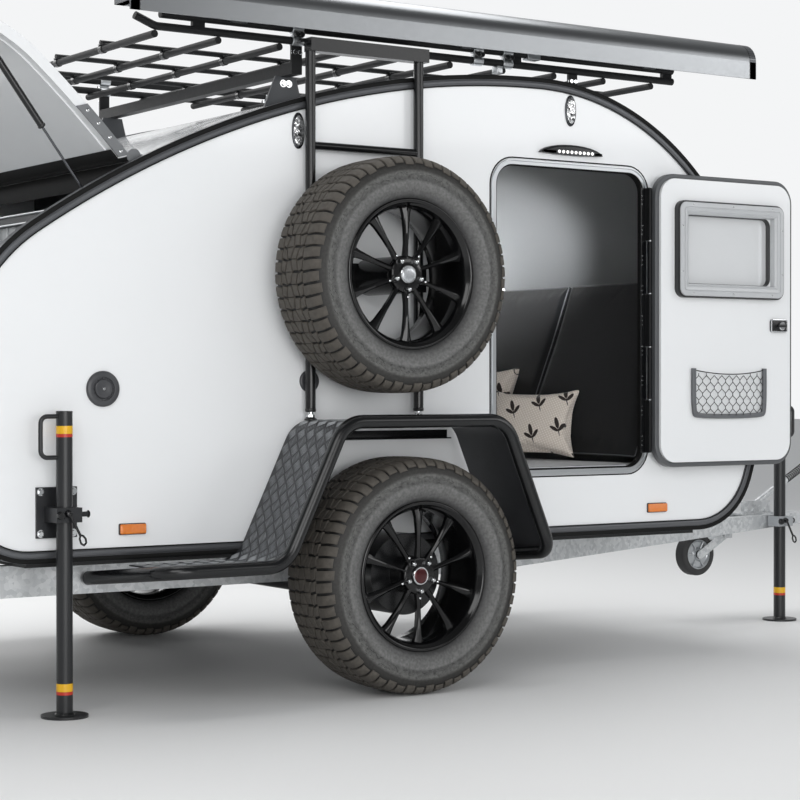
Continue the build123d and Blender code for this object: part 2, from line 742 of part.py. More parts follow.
def arm():
    """Right trailing arm with the stub axle that carries the wheel."""
    out = -ARM_IN - ARM_T
    pivot, hub = Vector(AXLE_BEAM_X, AXLE_BEAM_Z), Vector(0, AXLE_Z)
    ends = Pos(pivot.X, pivot.Y) * Circle(ARM_R) + Pos(hub.X, hub.Y) * Circle(ARM_R)
    plate = side_slab(make_hull(ends.edges()), out, -ARM_IN)
    stub_end = -WHEEL_Y - SPOKE_FACE + SPOKE_T + 22
    return plate + rod((0, out, AXLE_Z), (0, stub_end, AXLE_Z), STUB_R)


def beam_y(x):
    """Distance of a drawbar beam's centre line from the middle at x."""
    return BEAM_ROOT_Y - (BEAM_ROOT_Y - BEAM_TIP_Y) * x / BEAM_TIP_X


def axle_pad():
    """Pad that carries the right drawbar beam on the axle beam."""
    y = -beam_y(AXLE_BEAM_X)
    return block(AXLE_BEAM_X - AXLE_PAD_W / 2, AXLE_BEAM_X + AXLE_PAD_W / 2, y - BEAM_T / 2,
                 y + BEAM_T / 2, AXLE_BEAM_Z, BEAM_LOW_Z)


beam_end = (AXLE_BEAM_X, ARM_IN, AXLE_BEAM_Z)
axle_beam = rod((AXLE_BEAM_X, -ARM_IN, AXLE_BEAM_Z), beam_end, AXLE_BEAM_R)
parts["axle"] = axle_beam + arm() + left(arm()) + axle_pad() + left(axle_pad())


# Chassis

def beam_blank(far, wall=0):
    """Right drawbar beam's tapered side, as thick as its outer face to far, shrunk by wall."""
    run = math.hypot(BEAM_TIP_X, BEAM_ROOT_Y - BEAM_TIP_Y)
    turn = math.degrees(math.atan2(BEAM_ROOT_Y - BEAM_TIP_Y, BEAM_TIP_X))
    end = run + BEAM_T
    corners = [(0, CHASSIS_Z - wall), (end, CHASSIS_Z - wall), (end, BEAM_TIP_LOW_Z + wall),
               (BEAM_TAPER_X, BEAM_LOW_Z + wall), (0, BEAM_LOW_Z + wall)]
    side = make_face(Polyline(*corners, close=True))
    blank = side_slab(side, -BEAM_T / 2 + wall, far)
    return Pos(0, -BEAM_ROOT_Y, 0) * Rot(0, 0, turn) * blank


def v_beam():
    """Right drawbar beam: a tapered channel, open inwards, cut square at the tip."""
    beam = beam_blank(BEAM_T / 2) - beam_blank(BEAM_T, BEAM_WALL)
    keep = block(-BEAM_T, BEAM_TIP_X, -HALF_WIDTH, -FIT, 0, CHASSIS_Z + 1)
    return beam & keep


def between_beams(shape):
    """Cut a cross piece so that it ends in both beams' channels."""
    cut = shape - v_beam() - left(v_beam())
    return cut.solids().sort_by(SortBy.VOLUME)[-1]


def rear_rail():
    """Right rail from the beam's root to the tail."""
    return block(RAIL_REAR_X, -8, -BEAM_ROOT_Y - BEAM_T / 2, -BEAM_ROOT_Y + BEAM_T / 2,
                 CHASSIS_Z - RAIL_H, CHASSIS_Z)


parts["drawbar_beam_right"] = v_beam()
parts["drawbar_beam_left"] = left(v_beam())
rail_inner = BEAM_ROOT_Y - BEAM_T / 2
CROSS_PLACES = (
    # name, x, half length
    ("rear", RAIL_REAR_X + 60, rail_inner),
    ("middle", -520, rail_inner),
)
frame = [rear_rail(), left(rear_rail())]
for name, x, half in CROSS_PLACES:
    frame.append(block(x, x + CROSS_W, -half, half, CHASSIS_Z - CROSS_W, CHASSIS_Z))
front_half = beam_y(FRONT_CROSS_X) + BEAM_T
front_cross = block(FRONT_CROSS_X, FRONT_CROSS_X + CROSS_W, -front_half, front_half,
                    CHASSIS_Z - CROSS_W, CHASSIS_Z)
frame.append(between_beams(front_cross))


# Fender

FENDER_SIDE = [
    (FENDER_FOOT_X, FENDER_STEP_Z),
    (FENDER_CREST_X, FENDER_TOP_Z),
    (FENDER_BROW_X, FENDER_TOP_Z),
    (FENDER_TIP_X, FENDER_STEP_Z),
]


def fender_tube():
    """Right fender's tube: out from under the body, over the wheel and back in."""
    root_z = CHASSIS_Z - RAIL_H / 2
    points = [(FENDER_REAR_X - 60, -FENDER_ROOT_Y, root_z)]
    points += [(FENDER_REAR_X, -FENDER_OUT, FENDER_STEP_Z)]
    points += [(x, -FENDER_OUT, z) for x, z in FENDER_SIDE]
    points += [(FENDER_TIP_X - 30, -FENDER_ROOT_Y, root_z)]
    bends = [90, FENDER_BEND, FENDER_BEND, FENDER_BEND, 60]
    return bent_tube(points, bends, FENDER_TUBE_R)


def fender_plate():
    """Bent plate between the tube and the body: step, rear slope, top and front slope."""
    points = [(FENDER_REAR_X + 20, FENDER_STEP_Z)] + FENDER_SIDE
    path = FilletPolyline(*[(x, 0, z) for x, z in points], radius=FENDER_BEND)
    width = FENDER_OUT - HALF_WIDTH - TRIM_T - FIT
    section = Plane(origin=path @ 0, x_dir=(0, 1, 0), z_dir=path % 0) * Rectangle(width, PLATE_T)
    plate = sweep(section, path=path)
    return Pos(0, -FENDER_OUT + width / 2, 0) * plate


tube_right = fender_tube()
plate_right = (fender_plate() - tube_right).solids().sort_by(SortBy.VOLUME)[-1]
parts["fender_tube_right"] = tube_right
parts["fender_tube_left"] = left(tube_right)
parts["fender_plate_right"] = plate_right
parts["fender_plate_left"] = left(plate_right)


# Ladder and spare wheel carrier

def ladder():
    """Two uprights from the fender's top to the box beam, with the rung."""
    foot_z = FENDER_TOP_Z + PLATE_T / 2
    body = rod((LADDER_X[0], -LADDER_Y, RUNG_Z), (LADDER_X[1], -LADDER_Y, RUNG_Z), RUNG_R)
    for x in LADDER_X:
        stud_top = foot_z + LADDER_STUD
        body += rod((x, -LADDER_Y, stud_top), (x, -LADDER_Y, LADDER_TOP_Z), LADDER_R)
        body += rod((x, -LADDER_Y, foot_z), (x, -LADDER_Y, stud_top), STUD_R)
    return body


def ladder_head():
    """Box beam on the uprights, with two arms to the rack's lower rail."""
    half, reach = LADDER_BEAM / 2, LADDER_REACH
    top = LADDER_TOP_Z + LADDER_BEAM
    body = block(LADDER_X[0] - reach, LADDER_X[1] + 3 * reach, -LADDER_Y - half, -LADDER_Y + half,
                 LADDER_TOP_Z, top)
    for x in LADDER_X:
        body += block(x - LADDER_ARM_W / 2, x + LADDER_ARM_W / 2, -LADDER_Y + half,
                      -RACK_Y - RACK_TUBE_R, top - LADDER_ARM_T, top)
    return body


def spare_carrier():
    """Cross plate on the uprights and the boss that holds the spare rim."""
    plate_y = -LADDER_Y - LADDER_R
    low, high = SPARE_Z - CARRIER_H / 2, SPARE_Z + CARRIER_H / 2
    plate = block(LADDER_X[0] - LADDER_R, LADDER_X[1] + LADDER_R, plate_y - CARRIER_T, plate_y,
                  low, high)
    face = -SPARE_Y - SPOKE_FACE + SPOKE_T
    return plate + rod((SPARE_X, plate_y - CARRIER_T, SPARE_Z), (SPARE_X, face, SPARE_Z), HUB_R)


parts["ladder"] = ladder() + ladder_head()
parts["spare_carrier"] = spare_carrier()


# Roof rack

def rack_rail():
    """Right side rail: two tubes one above the other, the lower bent up at the rear, and clamps."""
    y = -RACK_Y
    bend_x = RACK_REAR_X + RACK_BEND + RACK_TUBE_R
    low = bent_tube([(RACK_FRONT_X, y, RACK_LOW_Z), (bend_x, y, RACK_LOW_Z),
                     (RACK_REAR_X, y, RACK_LOW_Z + RACK_RISE)], RACK_BEND, RACK_TUBE_R)
    top_start, top_end = (RACK_FRONT_X, y, RACK_TOP_Z), (RACK_REAR_X + RACK_TOP_SHORT, y, RACK_TOP_Z)
    rail = low + rod(top_start, top_end, RACK_TUBE_R)
    half_w, half_t = RACK_CLAMP_W / 2, RACK_CLAMP_T / 2
    for x in RACK_CLAMP_X:
        rail += block(x - half_w, x + half_w, y - half_t, y + half_t, RACK_LOW_Z, RACK_TOP_Z)
    return rail


CROSS_TUBE_Z = RACK_LOW_Z - RACK_TUBE_R - CROSS_TUBE_R
cross_tubes = []
for index in range(CROSS_TUBE_COUNT):
    x = CROSS_TUBE_X + index * CROSS_TUBE_PITCH
    end_y = RACK_Y + CROSS_TUBE_OVER
    cross_tubes.append(rod((x, -end_y, CROSS_TUBE_Z), (x, end_y, CROSS_TUBE_Z), CROSS_TUBE_R))
LONG_TUBE_Z = CROSS_TUBE_Z + CROSS_TUBE_R + LONG_TUBE_R
long_tubes = [
    rod((RACK_REAR_X + RACK_BEND, y, LONG_TUBE_Z), (RACK_FRONT_X, y, LONG_TUBE_Z), LONG_TUBE_R)
    for y in LONG_TUBE_YS
]


def rack_beam(x, low, high):
    """Beam across the roof, with posts up to the lower rails where it lies below them."""
    half = RACK_Y + POST_T / 2
    beam = block(x - BEAM_W / 2, x + BEAM_W / 2, -half, half, low, high)
    rail_low = RACK_LOW_Z - RACK_TUBE_R
    for y in (-RACK_Y, RACK_Y):
        beam += block(x - BEAM_W / 2, x + BEAM_W / 2, y - POST_T / 2, y + POST_T / 2, high, rail_low)
    return beam


def rack_foot(x, top, lean):
    """Gusset plate standing on the roof under a beam."""
    side = [(x - FOOT_BASE / 2 - lean, top - FOOT_DROP), (x + FOOT_BASE / 2, top - FOOT_DROP),
            (x + BEAM_W, top), (x - BEAM_W, top)]
    foot = side_slab(make_face(Polyline(*side, close=True)), -FOOT_Y - FOOT_T / 2, -FOOT_Y + FOOT_T / 2)
    return foot - side_slab(outline(-FIT), -HALF_WIDTH, HALF_WIDTH)


rear_beam_low = roof_z(BEAM_REAR_X) + REAR_BEAM_RISE
front_beam_low = roof_z(BEAM_FRONT_X) + FRONT_BEAM_RISE
front_beam_high = CROSS_TUBE_Z - CROSS_TUBE_R
parts["rack_rails"] = pair(rack_rail())
parts["rack_deck_tubes"] = together(*cross_tubes, *long_tubes)
rear_beam = rack_beam(BEAM_REAR_X, rear_beam_low, rear_beam_low + BEAM_H)
front_beam = rack_beam(BEAM_FRONT_X, front_beam_low, front_beam_high)
parts["rack_beams"] = together(rear_beam, front_beam)
feet = together(rack_foot(BEAM_REAR_X, rear_beam_low, FOOT_LEAN), rack_foot(BEAM_FRONT_X, front_beam_low, 0))
parts["rack_feet"] = pair(feet)


# Awning case

def awning_case():
    """Extruded case with a rounded front and a drip lip, on brackets from the rack."""
    y0, y1 = -AWNING_Y, -AWNING_Y - AWNING_D
    z0, z1 = AWNING_Z, AWNING_Z + AWNING_H
    lip = z0 - AWNING_LIP
    shoulder = (y1 + AWNING_SHOULDER_IN, z1 - AWNING_SHOULDER_DROP)
    section = [
        Line((y0, z0), (y0, z1)),
        Line((y0, z1), (y0 - AWNING_FLAT, z1)),
        ThreePointArc((y0 - AWNING_FLAT, z1), shoulder, (y1, z0 + AWNING_FACE)),
        Line((y1, z0 + AWNING_FACE), (y1, lip)),
        Line((y1, lip), (y1 + AWNING_LIP_T, lip)),
        Line((y1 + AWNING_LIP_T, lip), (y1 + AWNING_LIP_T, z0)),
        Line((y1 + AWNING_LIP_T, z0), (y0, z0)),
    ]
    start = Plane(origin=(AWNING_REAR_X, 0, 0), x_dir=(0, 1, 0), z_dir=(1, 0, 0))
    case = extrude(start * Face(Wire(section)), AWNING_FRONT_X - AWNING_REAR_X)
    half_w, bracket_low = AWNING_BRACKET_W / 2, RACK_TOP_Z - RACK_TUBE_R / 3
    for x in AWNING_BRACKET_X:
        case += block(x - half_w, x + half_w, y0, -RACK_Y - RACK_TUBE_R, bracket_low,
                      bracket_low + AWNING_BRACKET_T)
    return case


parts["awning_case"] = awning_case()


# Prop legs

def leg(x, y, handle_turn):
    """Tube with its base disc and the handle near its top."""
    tube = rod((x, y, FOOT_DISC_T), (x, y, LEG_TOP_Z), LEG_R)
    disc = rod((x, y, 0), (x, y, FOOT_DISC_T), FOOT_DISC_R)
    low, high = HANDLE_Z
    points = [(x, y, low), (x - HANDLE_OUT, y, low), (x - HANDLE_OUT, y, high), (x, y, high)]
    grip = bent_tube(points, 22, HANDLE_R)
    return tube + disc + grip.rotate(Axis((x, y, 0), (0, 0, 1)), handle_turn)


def leg_clamp(x, y, wall_y, plate_t, plate_w, low, high, plate_low, plate_high):
    """Back plate on what carries the leg and the sleeve that the leg slides in."""
    plate = block(x - plate_w / 2, x + plate_w / 2, wall_y - plate_t, wall_y, plate_low, plate_high)
    sleeve = block(x - 42, x + 42, y - LEG_R - 12, wall_y - plate_t, low, high)
    bore = rod((x, y, low - 1), (x, y, high + 1), LEG_R + LEG_CLEAR)
    pin = rod((x + 42, y, (low + high) / 2), (x + 78, y, (low + high) / 2), 8)
    return plate + (sleeve - bore) + pin


rear_x, rear_y = REAR_LEG
front_x, front_y = FRONT_LEG
parts["leg_rear_right"] = leg(rear_x, -rear_y, 0)
parts["leg_rear_left"] = left(leg(rear_x, -rear_y, 0))
parts["leg_front"] = leg(front_x, -front_y, 180)
rear_clamp = leg_clamp(rear_x, -rear_y, -HALF_WIDTH, 8, LEG_PLATE_W, *CLAMP_Z, *LEG_PLATE_Z)
front_wall = -beam_y(front_x + FRONT_PLATE_W / 2) - BEAM_T / 2
front_plate_t = front_y - LEG_R - 5 + front_wall
front_clamp = leg_clamp(front_x, -front_y, front_wall, front_plate_t, FRONT_PLATE_W,
                        *FRONT_CLAMP_Z, FRONT_CLAMP_Z[0], CHASSIS_Z)
parts["leg_clamps"] = together(pair(rear_clamp), front_clamp - beam_blank(BEAM_T))


# Jockey wheel

PIVOT = Vector(JOCKEY_PIVOT[0], 0, JOCKEY_PIVOT[1])
HUB = Vector(JOCKEY_HUB[0], 0, JOCKEY_HUB[1])


def fork():
    """Two fork plates from the pivot to the hub, joined by a web behind the wheel."""
    reach = HUB - PIVOT
    lean = math.degrees(math.atan2(reach.Z, reach.X))
    length = reach.length
    flat = Pos(length / 2, 0) * SlotCenterToCenter(length, FORK_W)
    gap = JOCKEY_W / 2 + FORK_SIDE
    plate = side_slab(flat, -gap - FORK_T, -gap)
    body = plate + left(plate)
    web_half = FORK_W / 2 - FORK_WEB_IN
    body += block(1.5 * JOCKEY_PIN_R, length - JOCKEY_R - JOCKEY_PIN_R, -gap, gap, -web_half, web_half)
    pin_y = gap + FORK_T + JOCKEY_PIN_OUT
    body += rod((length, -pin_y, 0), (length, pin_y, 0), JOCKEY_PIN_R)
    body -= rod((0, -pin_y, 0), (0, pin_y, 0), JOCKEY_PIN_R + STUB_CLEAR)
    return Pos(PIVOT.X, 0, PIVOT.Z) * Rot(0, -lean, 0) * body


def jockey_wheel():
    """Small wheel: solid tyre on a dished rim."""
    half = JOCKEY_W / 2
    tread = Pos(JOCKEY_R / 2, 0) * RectangleRounded(JOCKEY_R, JOCKEY_W, JOCKEY_EDGE_R)
    clear = JOCKEY_PIN_R / 2
    tread &= Pos(JOCKEY_R / 2 + clear, 0) * Rectangle(JOCKEY_R - 2 * clear, JOCKEY_W)
    wheel = revolve(tread, Axis.Y)
    for side in (-1, 1):
        wheel -= rod((0, side * (half - JOCKEY_EDGE_R), 0), (0, side * (half + 1), 0), JOCKEY_RIM_R)
    wheel += rod((0, -half, 0), (0, half, 0), JOCKEY_HUB_R)
    bore = rod((0, -half - 1, 0), (0, half + 1, 0), JOCKEY_PIN_R + STUB_CLEAR)
    return Pos(HUB.X, 0, HUB.Z) * (wheel - bore)


def jockey_bracket():
    """Cross plate between the beams with two ears and the pivot pin."""
    half = beam_y(PIVOT.X) + BEAM_T
    gap = JOCKEY_W / 2 + FORK_SIDE + FORK_T + JOCKEY_EAR_GAP
    ear_top = PIVOT.Z + JOCKEY_EAR_UP
    plate = block(PIVOT.X - JOCKEY_PLATE_REAR, PIVOT.X + JOCKEY_PLATE_FRONT, -half, half, ear_top,
                  ear_top + JOCKEY_PLATE_T)
    plate = between_beams(plate)
    ears = block(PIVOT.X - JOCKEY_EAR_W / 2, PIVOT.X + JOCKEY_EAR_W / 2, -gap - JOCKEY_EAR_T, -gap,
                 PIVOT.Z - JOCKEY_EAR_DOWN, ear_top)
    pin_y = gap + JOCKEY_EAR_T
    pin = rod((PIVOT.X, -pin_y, PIVOT.Z), (PIVOT.X, pin_y, PIVOT.Z), JOCKEY_PIN_R)
    return plate + ears + left(ears) + pin


parts["jockey_fork"] = fork()
parts["jockey_wheel"] = jockey_wheel()
parts["chassis_frame"] = together(*frame, jockey_bracket())


# Coupling and handbrake lever

def coupling():
    """Coupling head: neck over the beams' tips and a housing open below for the tow ball."""
    ball_x = BEAM_TIP_X + COUPLING_LEN - COUPLING_W / 2
    top = BALL_Z + BALL_R + 18
    neck = block(BEAM_TIP_X, ball_x, -30, 30, BALL_Z - 12, top)
    head = Pos(ball_x, 0, BALL_Z - 12) * extrude(Circle(COUPLING_W / 2), top - BALL_Z + 12)
    socket = rod((ball_x, 0, BALL_Z - 40), (ball_x, 0, BALL_Z), BALL_R + BALL_CLEAR)
    dome = Pos(ball_x, 0, BALL_Z) * Sphere(BALL_R + BALL_CLEAR)
    handle = rod((ball_x - 70, 0, top), (ball_x + 30, 0, top + 62), 11)
    return neck + head - socket - dome + handle


def brake_lever():
    """Handbrake quadrant over the beams and its raised lever."""
    (x0, z0), (x1, z1) = LEVER_FOOT, LEVER_TIP
    rear_x, front_x = x0 - LEVER_PLATE_REAR, x0 + LEVER_PLATE_FRONT
    plate_out, plate_in = -LEVER_PLATE_Y - LEVER_PLATE_T, -LEVER_PLATE_Y
    base = block(rear_x, front_x, plate_out, plate_in, CHASSIS_Z, z0 + LEVER_PLATE_H)
    deck = block(rear_x - LEVER_DECK_REACH, front_x + LEVER_DECK_REACH, -LEVER_DECK_Y, LEVER_DECK_Y,
                 CHASSIS_Z, CHASSIS_Z + LEVER_DECK_T)
    bar_y, bar_z = plate_in + LEVER_R / 2, z0 + LEVER_BOSS_R
    bar = rod((x0, bar_y, bar_z), (x1, bar_y, z1), LEVER_R)
    boss = rod((x0, plate_out, bar_z), (x0, plate_in + LEVER_R, bar_z), LEVER_BOSS_R)
    return base + deck + bar + boss


parts["coupling_head"] = coupling()
parts["brake_lever"] = brake_lever()


# Cabin furniture

cabin_rear = BULKHEAD_X + BULKHEAD_T
bed_half = INNER_Y - 10
parts["bed_base"] = block(cabin_rear, MATTRESS_FRONT_X, -INNER_Y, INNER_Y, floor_cut, BED_TOP_Z)
mattress_top = BED_TOP_Z + MATTRESS_T
lean = math.radians(BACKREST_LEAN)
parts["mattress"] = block(cabin_rear + 6, MATTRESS_FRONT_X - 10, -bed_half, bed_half,
                          BED_TOP_Z + SOFT_GAP, mattress_top)


BACK_FOOT = Vector(BACKREST_FOOT_X, mattress_top + SOFT_GAP)


def back_cushion():
    """Right back cushion leaning forwards on the mattress, as a plain pad."""
    foot = BACK_FOOT
    along = Vector(math.sin(lean), math.cos(lean)) * BACKREST_H
    across = Vector(math.cos(lean), -math.sin(lean)) * BACKREST_T
    back_foot_x = foot.X + BACKREST_T / math.cos(lean)
    top, back = foot + along, foot + along + across
    side = Polyline((foot.X, foot.Y), (top.X, top.Y), (back.X, back.Y), (back_foot_x, foot.Y),
                    close=True)
    return side_slab(make_face(side), -bed_half, -3)


def pillow(y, width, height, depth):
    """Plain pillow block that stands on the mattress and leans on the back cushions."""
    place = Pos(BACK_FOOT.X, y, BACK_FOOT.Y) * Rot(0, BACKREST_LEAN, 0)
    return place * Pos(-depth / 2 - SOFT_GAP, 0, height / 2) * Box(depth, width, height)


parts["back_cushions"] = pair(back_cushion())
parts["pillows"] = together(pillow(PILLOW_RIGHT_Y, PILLOW_LONG, PILLOW_SHORT, PILLOW_T),
                            pillow(PILLOW_LEFT_Y, PILLOW_SHORT, PILLOW_LONG, PILLOW_T))


# Galley

galley_front = BULKHEAD_X
galley = block(CABINET_REAR_X, galley_front, -INNER_Y, INNER_Y, floor_cut, WORKTOP_Z - WORKTOP_T)
galley &= cabin_inside
drawer_w = (2 * INNER_Y - 2 * DRAWER_SIDE - 2 * DRAWER_GAP) / 3
for row_z in DRAWER_ROWS_Z:
    for column in (-1, 0, 1):
        y = column * (drawer_w + DRAWER_GAP)
        galley += block(CABINET_REAR_X - DRAWER_T, CABINET_REAR_X, y - drawer_w / 2, y + drawer_w / 2,
                        row_z, row_z + DRAWER_H)
parts["galley_cabinet"] = galley
worktop = block(CABINET_REAR_X - 20, galley_front, -INNER_Y, INNER_Y, WORKTOP_Z - WORKTOP_T,
                WORKTOP_Z)
shelf_half = STRUT_Y - STRUT_R - 9
shelf = block(SHELF_X, galley_front, -shelf_half, shelf_half, SHELF_Z, SHELF_Z + SHELF_T)
shelf += block(SHELF_X + 130, galley_front, -INNER_Y, INNER_Y, SHELF_Z, SHELF_Z + SHELF_T)
shelf += block(SHELF_X, SHELF_X + SHELF_T, -shelf_half, shelf_half, SHELF_Z + 70, SHELF_TOP_Z)
for y in (-shelf_half, -246, 234, shelf_half - 12):
    shelf += block(SHELF_X, galley_front, y, y + 12, SHELF_Z + SHELF_T, SHELF_TOP_Z)
parts["galley_boards"] = together(worktop, shelf)


# Caps and lamps on the sides

def side_disc(x, z, radius, depth):
    """Round piece on the right side."""
    return rod((x, -HALF_WIDTH - depth, z), (x, -HALF_WIDTH, z), radius)


caps = [side_disc(*row) for row in CAPS]
lamps = [
    side_slab(rounded(x, z, w, h, r), -HALF_WIDTH - depth, -HALF_WIDTH)
    for x, z, w, h, r, depth in LAMPS
]
porch_face = rounded(PORCH_LAMP_X, PORCH_LAMP_Z, PORCH_LAMP_W, PORCH_LAMP_H, PORCH_LAMP_R)
porch_lamp = side_slab(porch_face, -HALF_WIDTH - PORCH_LAMP_D, -HALF_WIDTH)
parts["side_fittings"] = together(*caps, porch_lamp)
rear_lamp_skin = shell_ring(-REAR_LAMP_T, -FIT, INNER_Y)
rear_lamp_face = RectangleRounded(REAR_LAMP_H, REAR_LAMP_W, REAR_LAMP_R)
rear_lamps = []
for y in (-REAR_LAMP_Y, REAR_LAMP_Y):
    reach = Pos(TAIL_X - 2 * REAR_LAMP_T, y, REAR_LAMP_Z) * Rot(0, 90, 0)
    rear_lamps.append(rear_lamp_skin & reach * extrude(rear_lamp_face, REAR_CORNER_R / 2))
parts["lamps"] = together(pair(together(*lamps)), *rear_lamps)


# Origin at the middle of the floor area of the whole part, and one file for each piece

os.makedirs("parts", exist_ok=True)
boxes = [shape.bounding_box() for shape in parts.values()]
MIDDLE_X = (min(b.min.X for b in boxes) + max(b.max.X for b in boxes)) / 2
MIDDLE_Y = (min(b.min.Y for b in boxes) + max(b.max.Y for b in boxes)) / 2
BASE_Z = min(b.min.Z for b in boxes)
for name, shape in parts.items():
    export_step(Pos(-MIDDLE_X, -MIDDLE_Y, -BASE_Z) * shape, "parts/" + name + ".step")
print("pieces", len(parts), "origin shift", round(MIDDLE_X, 3), round(MIDDLE_Y, 3), round(BASE_Z, 3))
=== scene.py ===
# %% [markdown]
# # A teardrop camping trailer, dressed over its CAD frame
#
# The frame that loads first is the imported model: every solid at its real place, in metres, with
# X forward, Y to the left and Z up. This script gives its pieces their finishes, and puts finer
# pieces where a plain solid stands for something with more detail: tyres, rims, chequer plate,
# cushions, lamps, nets and small fittings.
#
# New shapes are worked out with numpy as grids of points. A grid is easy to reason about,
# because one line of arithmetic places every vertex, and the same few helpers make all of them.

# %% Load the frame
import math
import bmesh
import bpy
import numpy as np
from mathutils import Matrix, Vector


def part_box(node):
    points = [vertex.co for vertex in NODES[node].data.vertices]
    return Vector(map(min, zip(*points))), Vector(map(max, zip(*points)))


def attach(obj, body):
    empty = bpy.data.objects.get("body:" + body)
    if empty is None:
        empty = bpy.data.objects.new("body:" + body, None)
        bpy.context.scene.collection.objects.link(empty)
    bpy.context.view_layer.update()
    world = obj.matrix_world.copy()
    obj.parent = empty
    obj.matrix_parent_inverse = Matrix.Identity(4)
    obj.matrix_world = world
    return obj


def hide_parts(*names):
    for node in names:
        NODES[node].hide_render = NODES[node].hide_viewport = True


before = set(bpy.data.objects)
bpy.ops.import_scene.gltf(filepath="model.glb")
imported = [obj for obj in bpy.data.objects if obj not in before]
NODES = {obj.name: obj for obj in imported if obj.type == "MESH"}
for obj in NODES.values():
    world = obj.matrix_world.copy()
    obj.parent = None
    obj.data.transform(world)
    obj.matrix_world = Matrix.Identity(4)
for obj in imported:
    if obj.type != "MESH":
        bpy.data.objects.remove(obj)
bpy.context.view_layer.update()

# %% [markdown]
# ## Where things are
#
# The drawing was made in millimetres from the axle, so most places below are written that way
# too. The axle's place in the frame is read from the right tyre's box, and one function turns
# drawing millimetres into frame metres.

# %% Drawing millimetres to frame metres
tyre_low, tyre_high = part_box("tyre_right")
AXLE_X = (tyre_low.x + tyre_high.x) / 2
WHEEL_Y = -(tyre_low.y + tyre_high.y) / 2
TYRE_R = (tyre_high.z - tyre_low.z) / 2
# The right panel's outer face, the roof's arc and the tail's lower arc, in drawing millimetres.
PANEL_Y = -760
ROOF_X, ROOF_TOP, ROOF_R = 727, 2101, 3535
REAR_X, REAR_Z, REAR_R = -1243, 720, 252


def at(x, y, z):
    """Frame place of a drawing place, or of arrays of them: (x / 1000 + axle, y / 1000, z / 1000)."""
    x, y, z = np.broadcast_arrays(x, y, z)
    return np.stack([x / 1000 + AXLE_X, y / 1000, z / 1000], -1)


print("axle x", round(AXLE_X, 4), "wheel y", round(WHEEL_Y, 4), "tyre", round(TYRE_R, 4))

# %% [markdown]
# ## Shells
#
# Every new piece is made of shells. A shell is a pair: an array of points and a list of faces.
# A grid of points gives one, a profile turned about an axis or carried along a path gives a grid,
# and shells can be copied, mirrored and put together before they become one mesh.

# %% A grid of points as a shell


def grid(points, close_rows=False, close_columns=False, cap=False):
    """A surface through points[row, column].

    Vertex number = row * columns + column, and each face takes four neighbours. A closed
    direction counts on from its last line to its first. cap closes both end rows with a face.
    """
    points = np.asarray(points, float)
    rows, columns = points.shape[:2]
    number = np.arange(rows * columns).reshape(rows, columns)
    ends = [number[0][::-1].tolist(), number[-1].tolist()]
    if close_rows:
        number = np.vstack([number, number[:1]])
    if close_columns:
        number = np.hstack([number, number[:, :1]])
    quads = np.stack([number[:-1, :-1], number[:-1, 1:], number[1:, 1:], number[1:, :-1]], -1)
    return points.reshape(-1, 3), quads.reshape(-1, 4).tolist() + (ends if cap else [])


def merge(*shells):
    """Several shells as one: points stacked, face numbers moved on by the points before them."""
    points, faces, start = [], [], 0
    for shell_points, shell_faces in shells:
        points.append(shell_points)
        faces += [[index + start for index in face] for face in shell_faces]
        start += len(shell_points)
    return np.vstack(points), faces


def numbered(faces, step, count):
    """The faces of count copies of a shell: each copy's point numbers are step higher than the last's."""
    return [[i + k * step for i in face] for k in range(count) for face in faces]


def repeat(shell, places):
    """Copies of a shell, one for each 4 by 4 matrix: point' = R point + t."""
    points, faces = shell
    places = np.asarray(places, float).reshape(-1, 4, 4)
    moved = np.einsum("kij,nj->kni", places[:, :3, :3], points) + places[:, None, :3, 3]
    return moved.reshape(-1, 3), numbered(faces, len(points), len(places))


def along_x(section, low, high):
    """A closed (y, z) section in drawing mm drawn out along X from low to high."""
    y, z = np.asarray(section, float).T
    return grid([at(x, y, z) for x in (low, high)], close_columns=True, cap=True)


def along_y(section, low, high):
    """A closed (x, z) section in drawing mm drawn out along Y from low to high."""
    x, z = np.asarray(section, float).T
    return grid([at(x, y, z) for y in (low, high)], close_columns=True, cap=True)


# %% Rods, turned profiles and plates
ORIGIN = (0, 0, 0)


def basis(direction, up=(0, 0, 1)):
    """Three unit vectors: across, over and along a direction, with over as near to up as it can be."""
    along = np.asarray(direction, float)
    along = along / np.linalg.norm(along)
    up = np.asarray(up, float)
    if abs(along @ up) > 0.999 * np.linalg.norm(up):
        up = np.array([1.0, 0, 0]) if abs(along[0]) < 0.9 else np.array([0, 1.0, 0])
    across = np.cross(up, along)
    across /= np.linalg.norm(across)
    return across, np.cross(along, across), along


def turned(profile, centre, axis=(0, -1, 0), count=48, close=False):
    """A profile of (distance along the axis, radius) turned about an axis through centre.

    Point = centre + distance * axis + radius * (cos a * across + sin a * over).
    """
    across, over, along = basis(axis)
    distance, radius = np.asarray(profile, float).T
    angle = np.linspace(0, 2 * np.pi, count, endpoint=False)
    spoke = np.cos(angle)[:, None] * across + np.sin(angle)[:, None] * over
    points = np.asarray(centre) + distance[:, None, None] * along + radius[:, None, None] * spoke
    return grid(points, close_rows=close, close_columns=True, cap=not close)


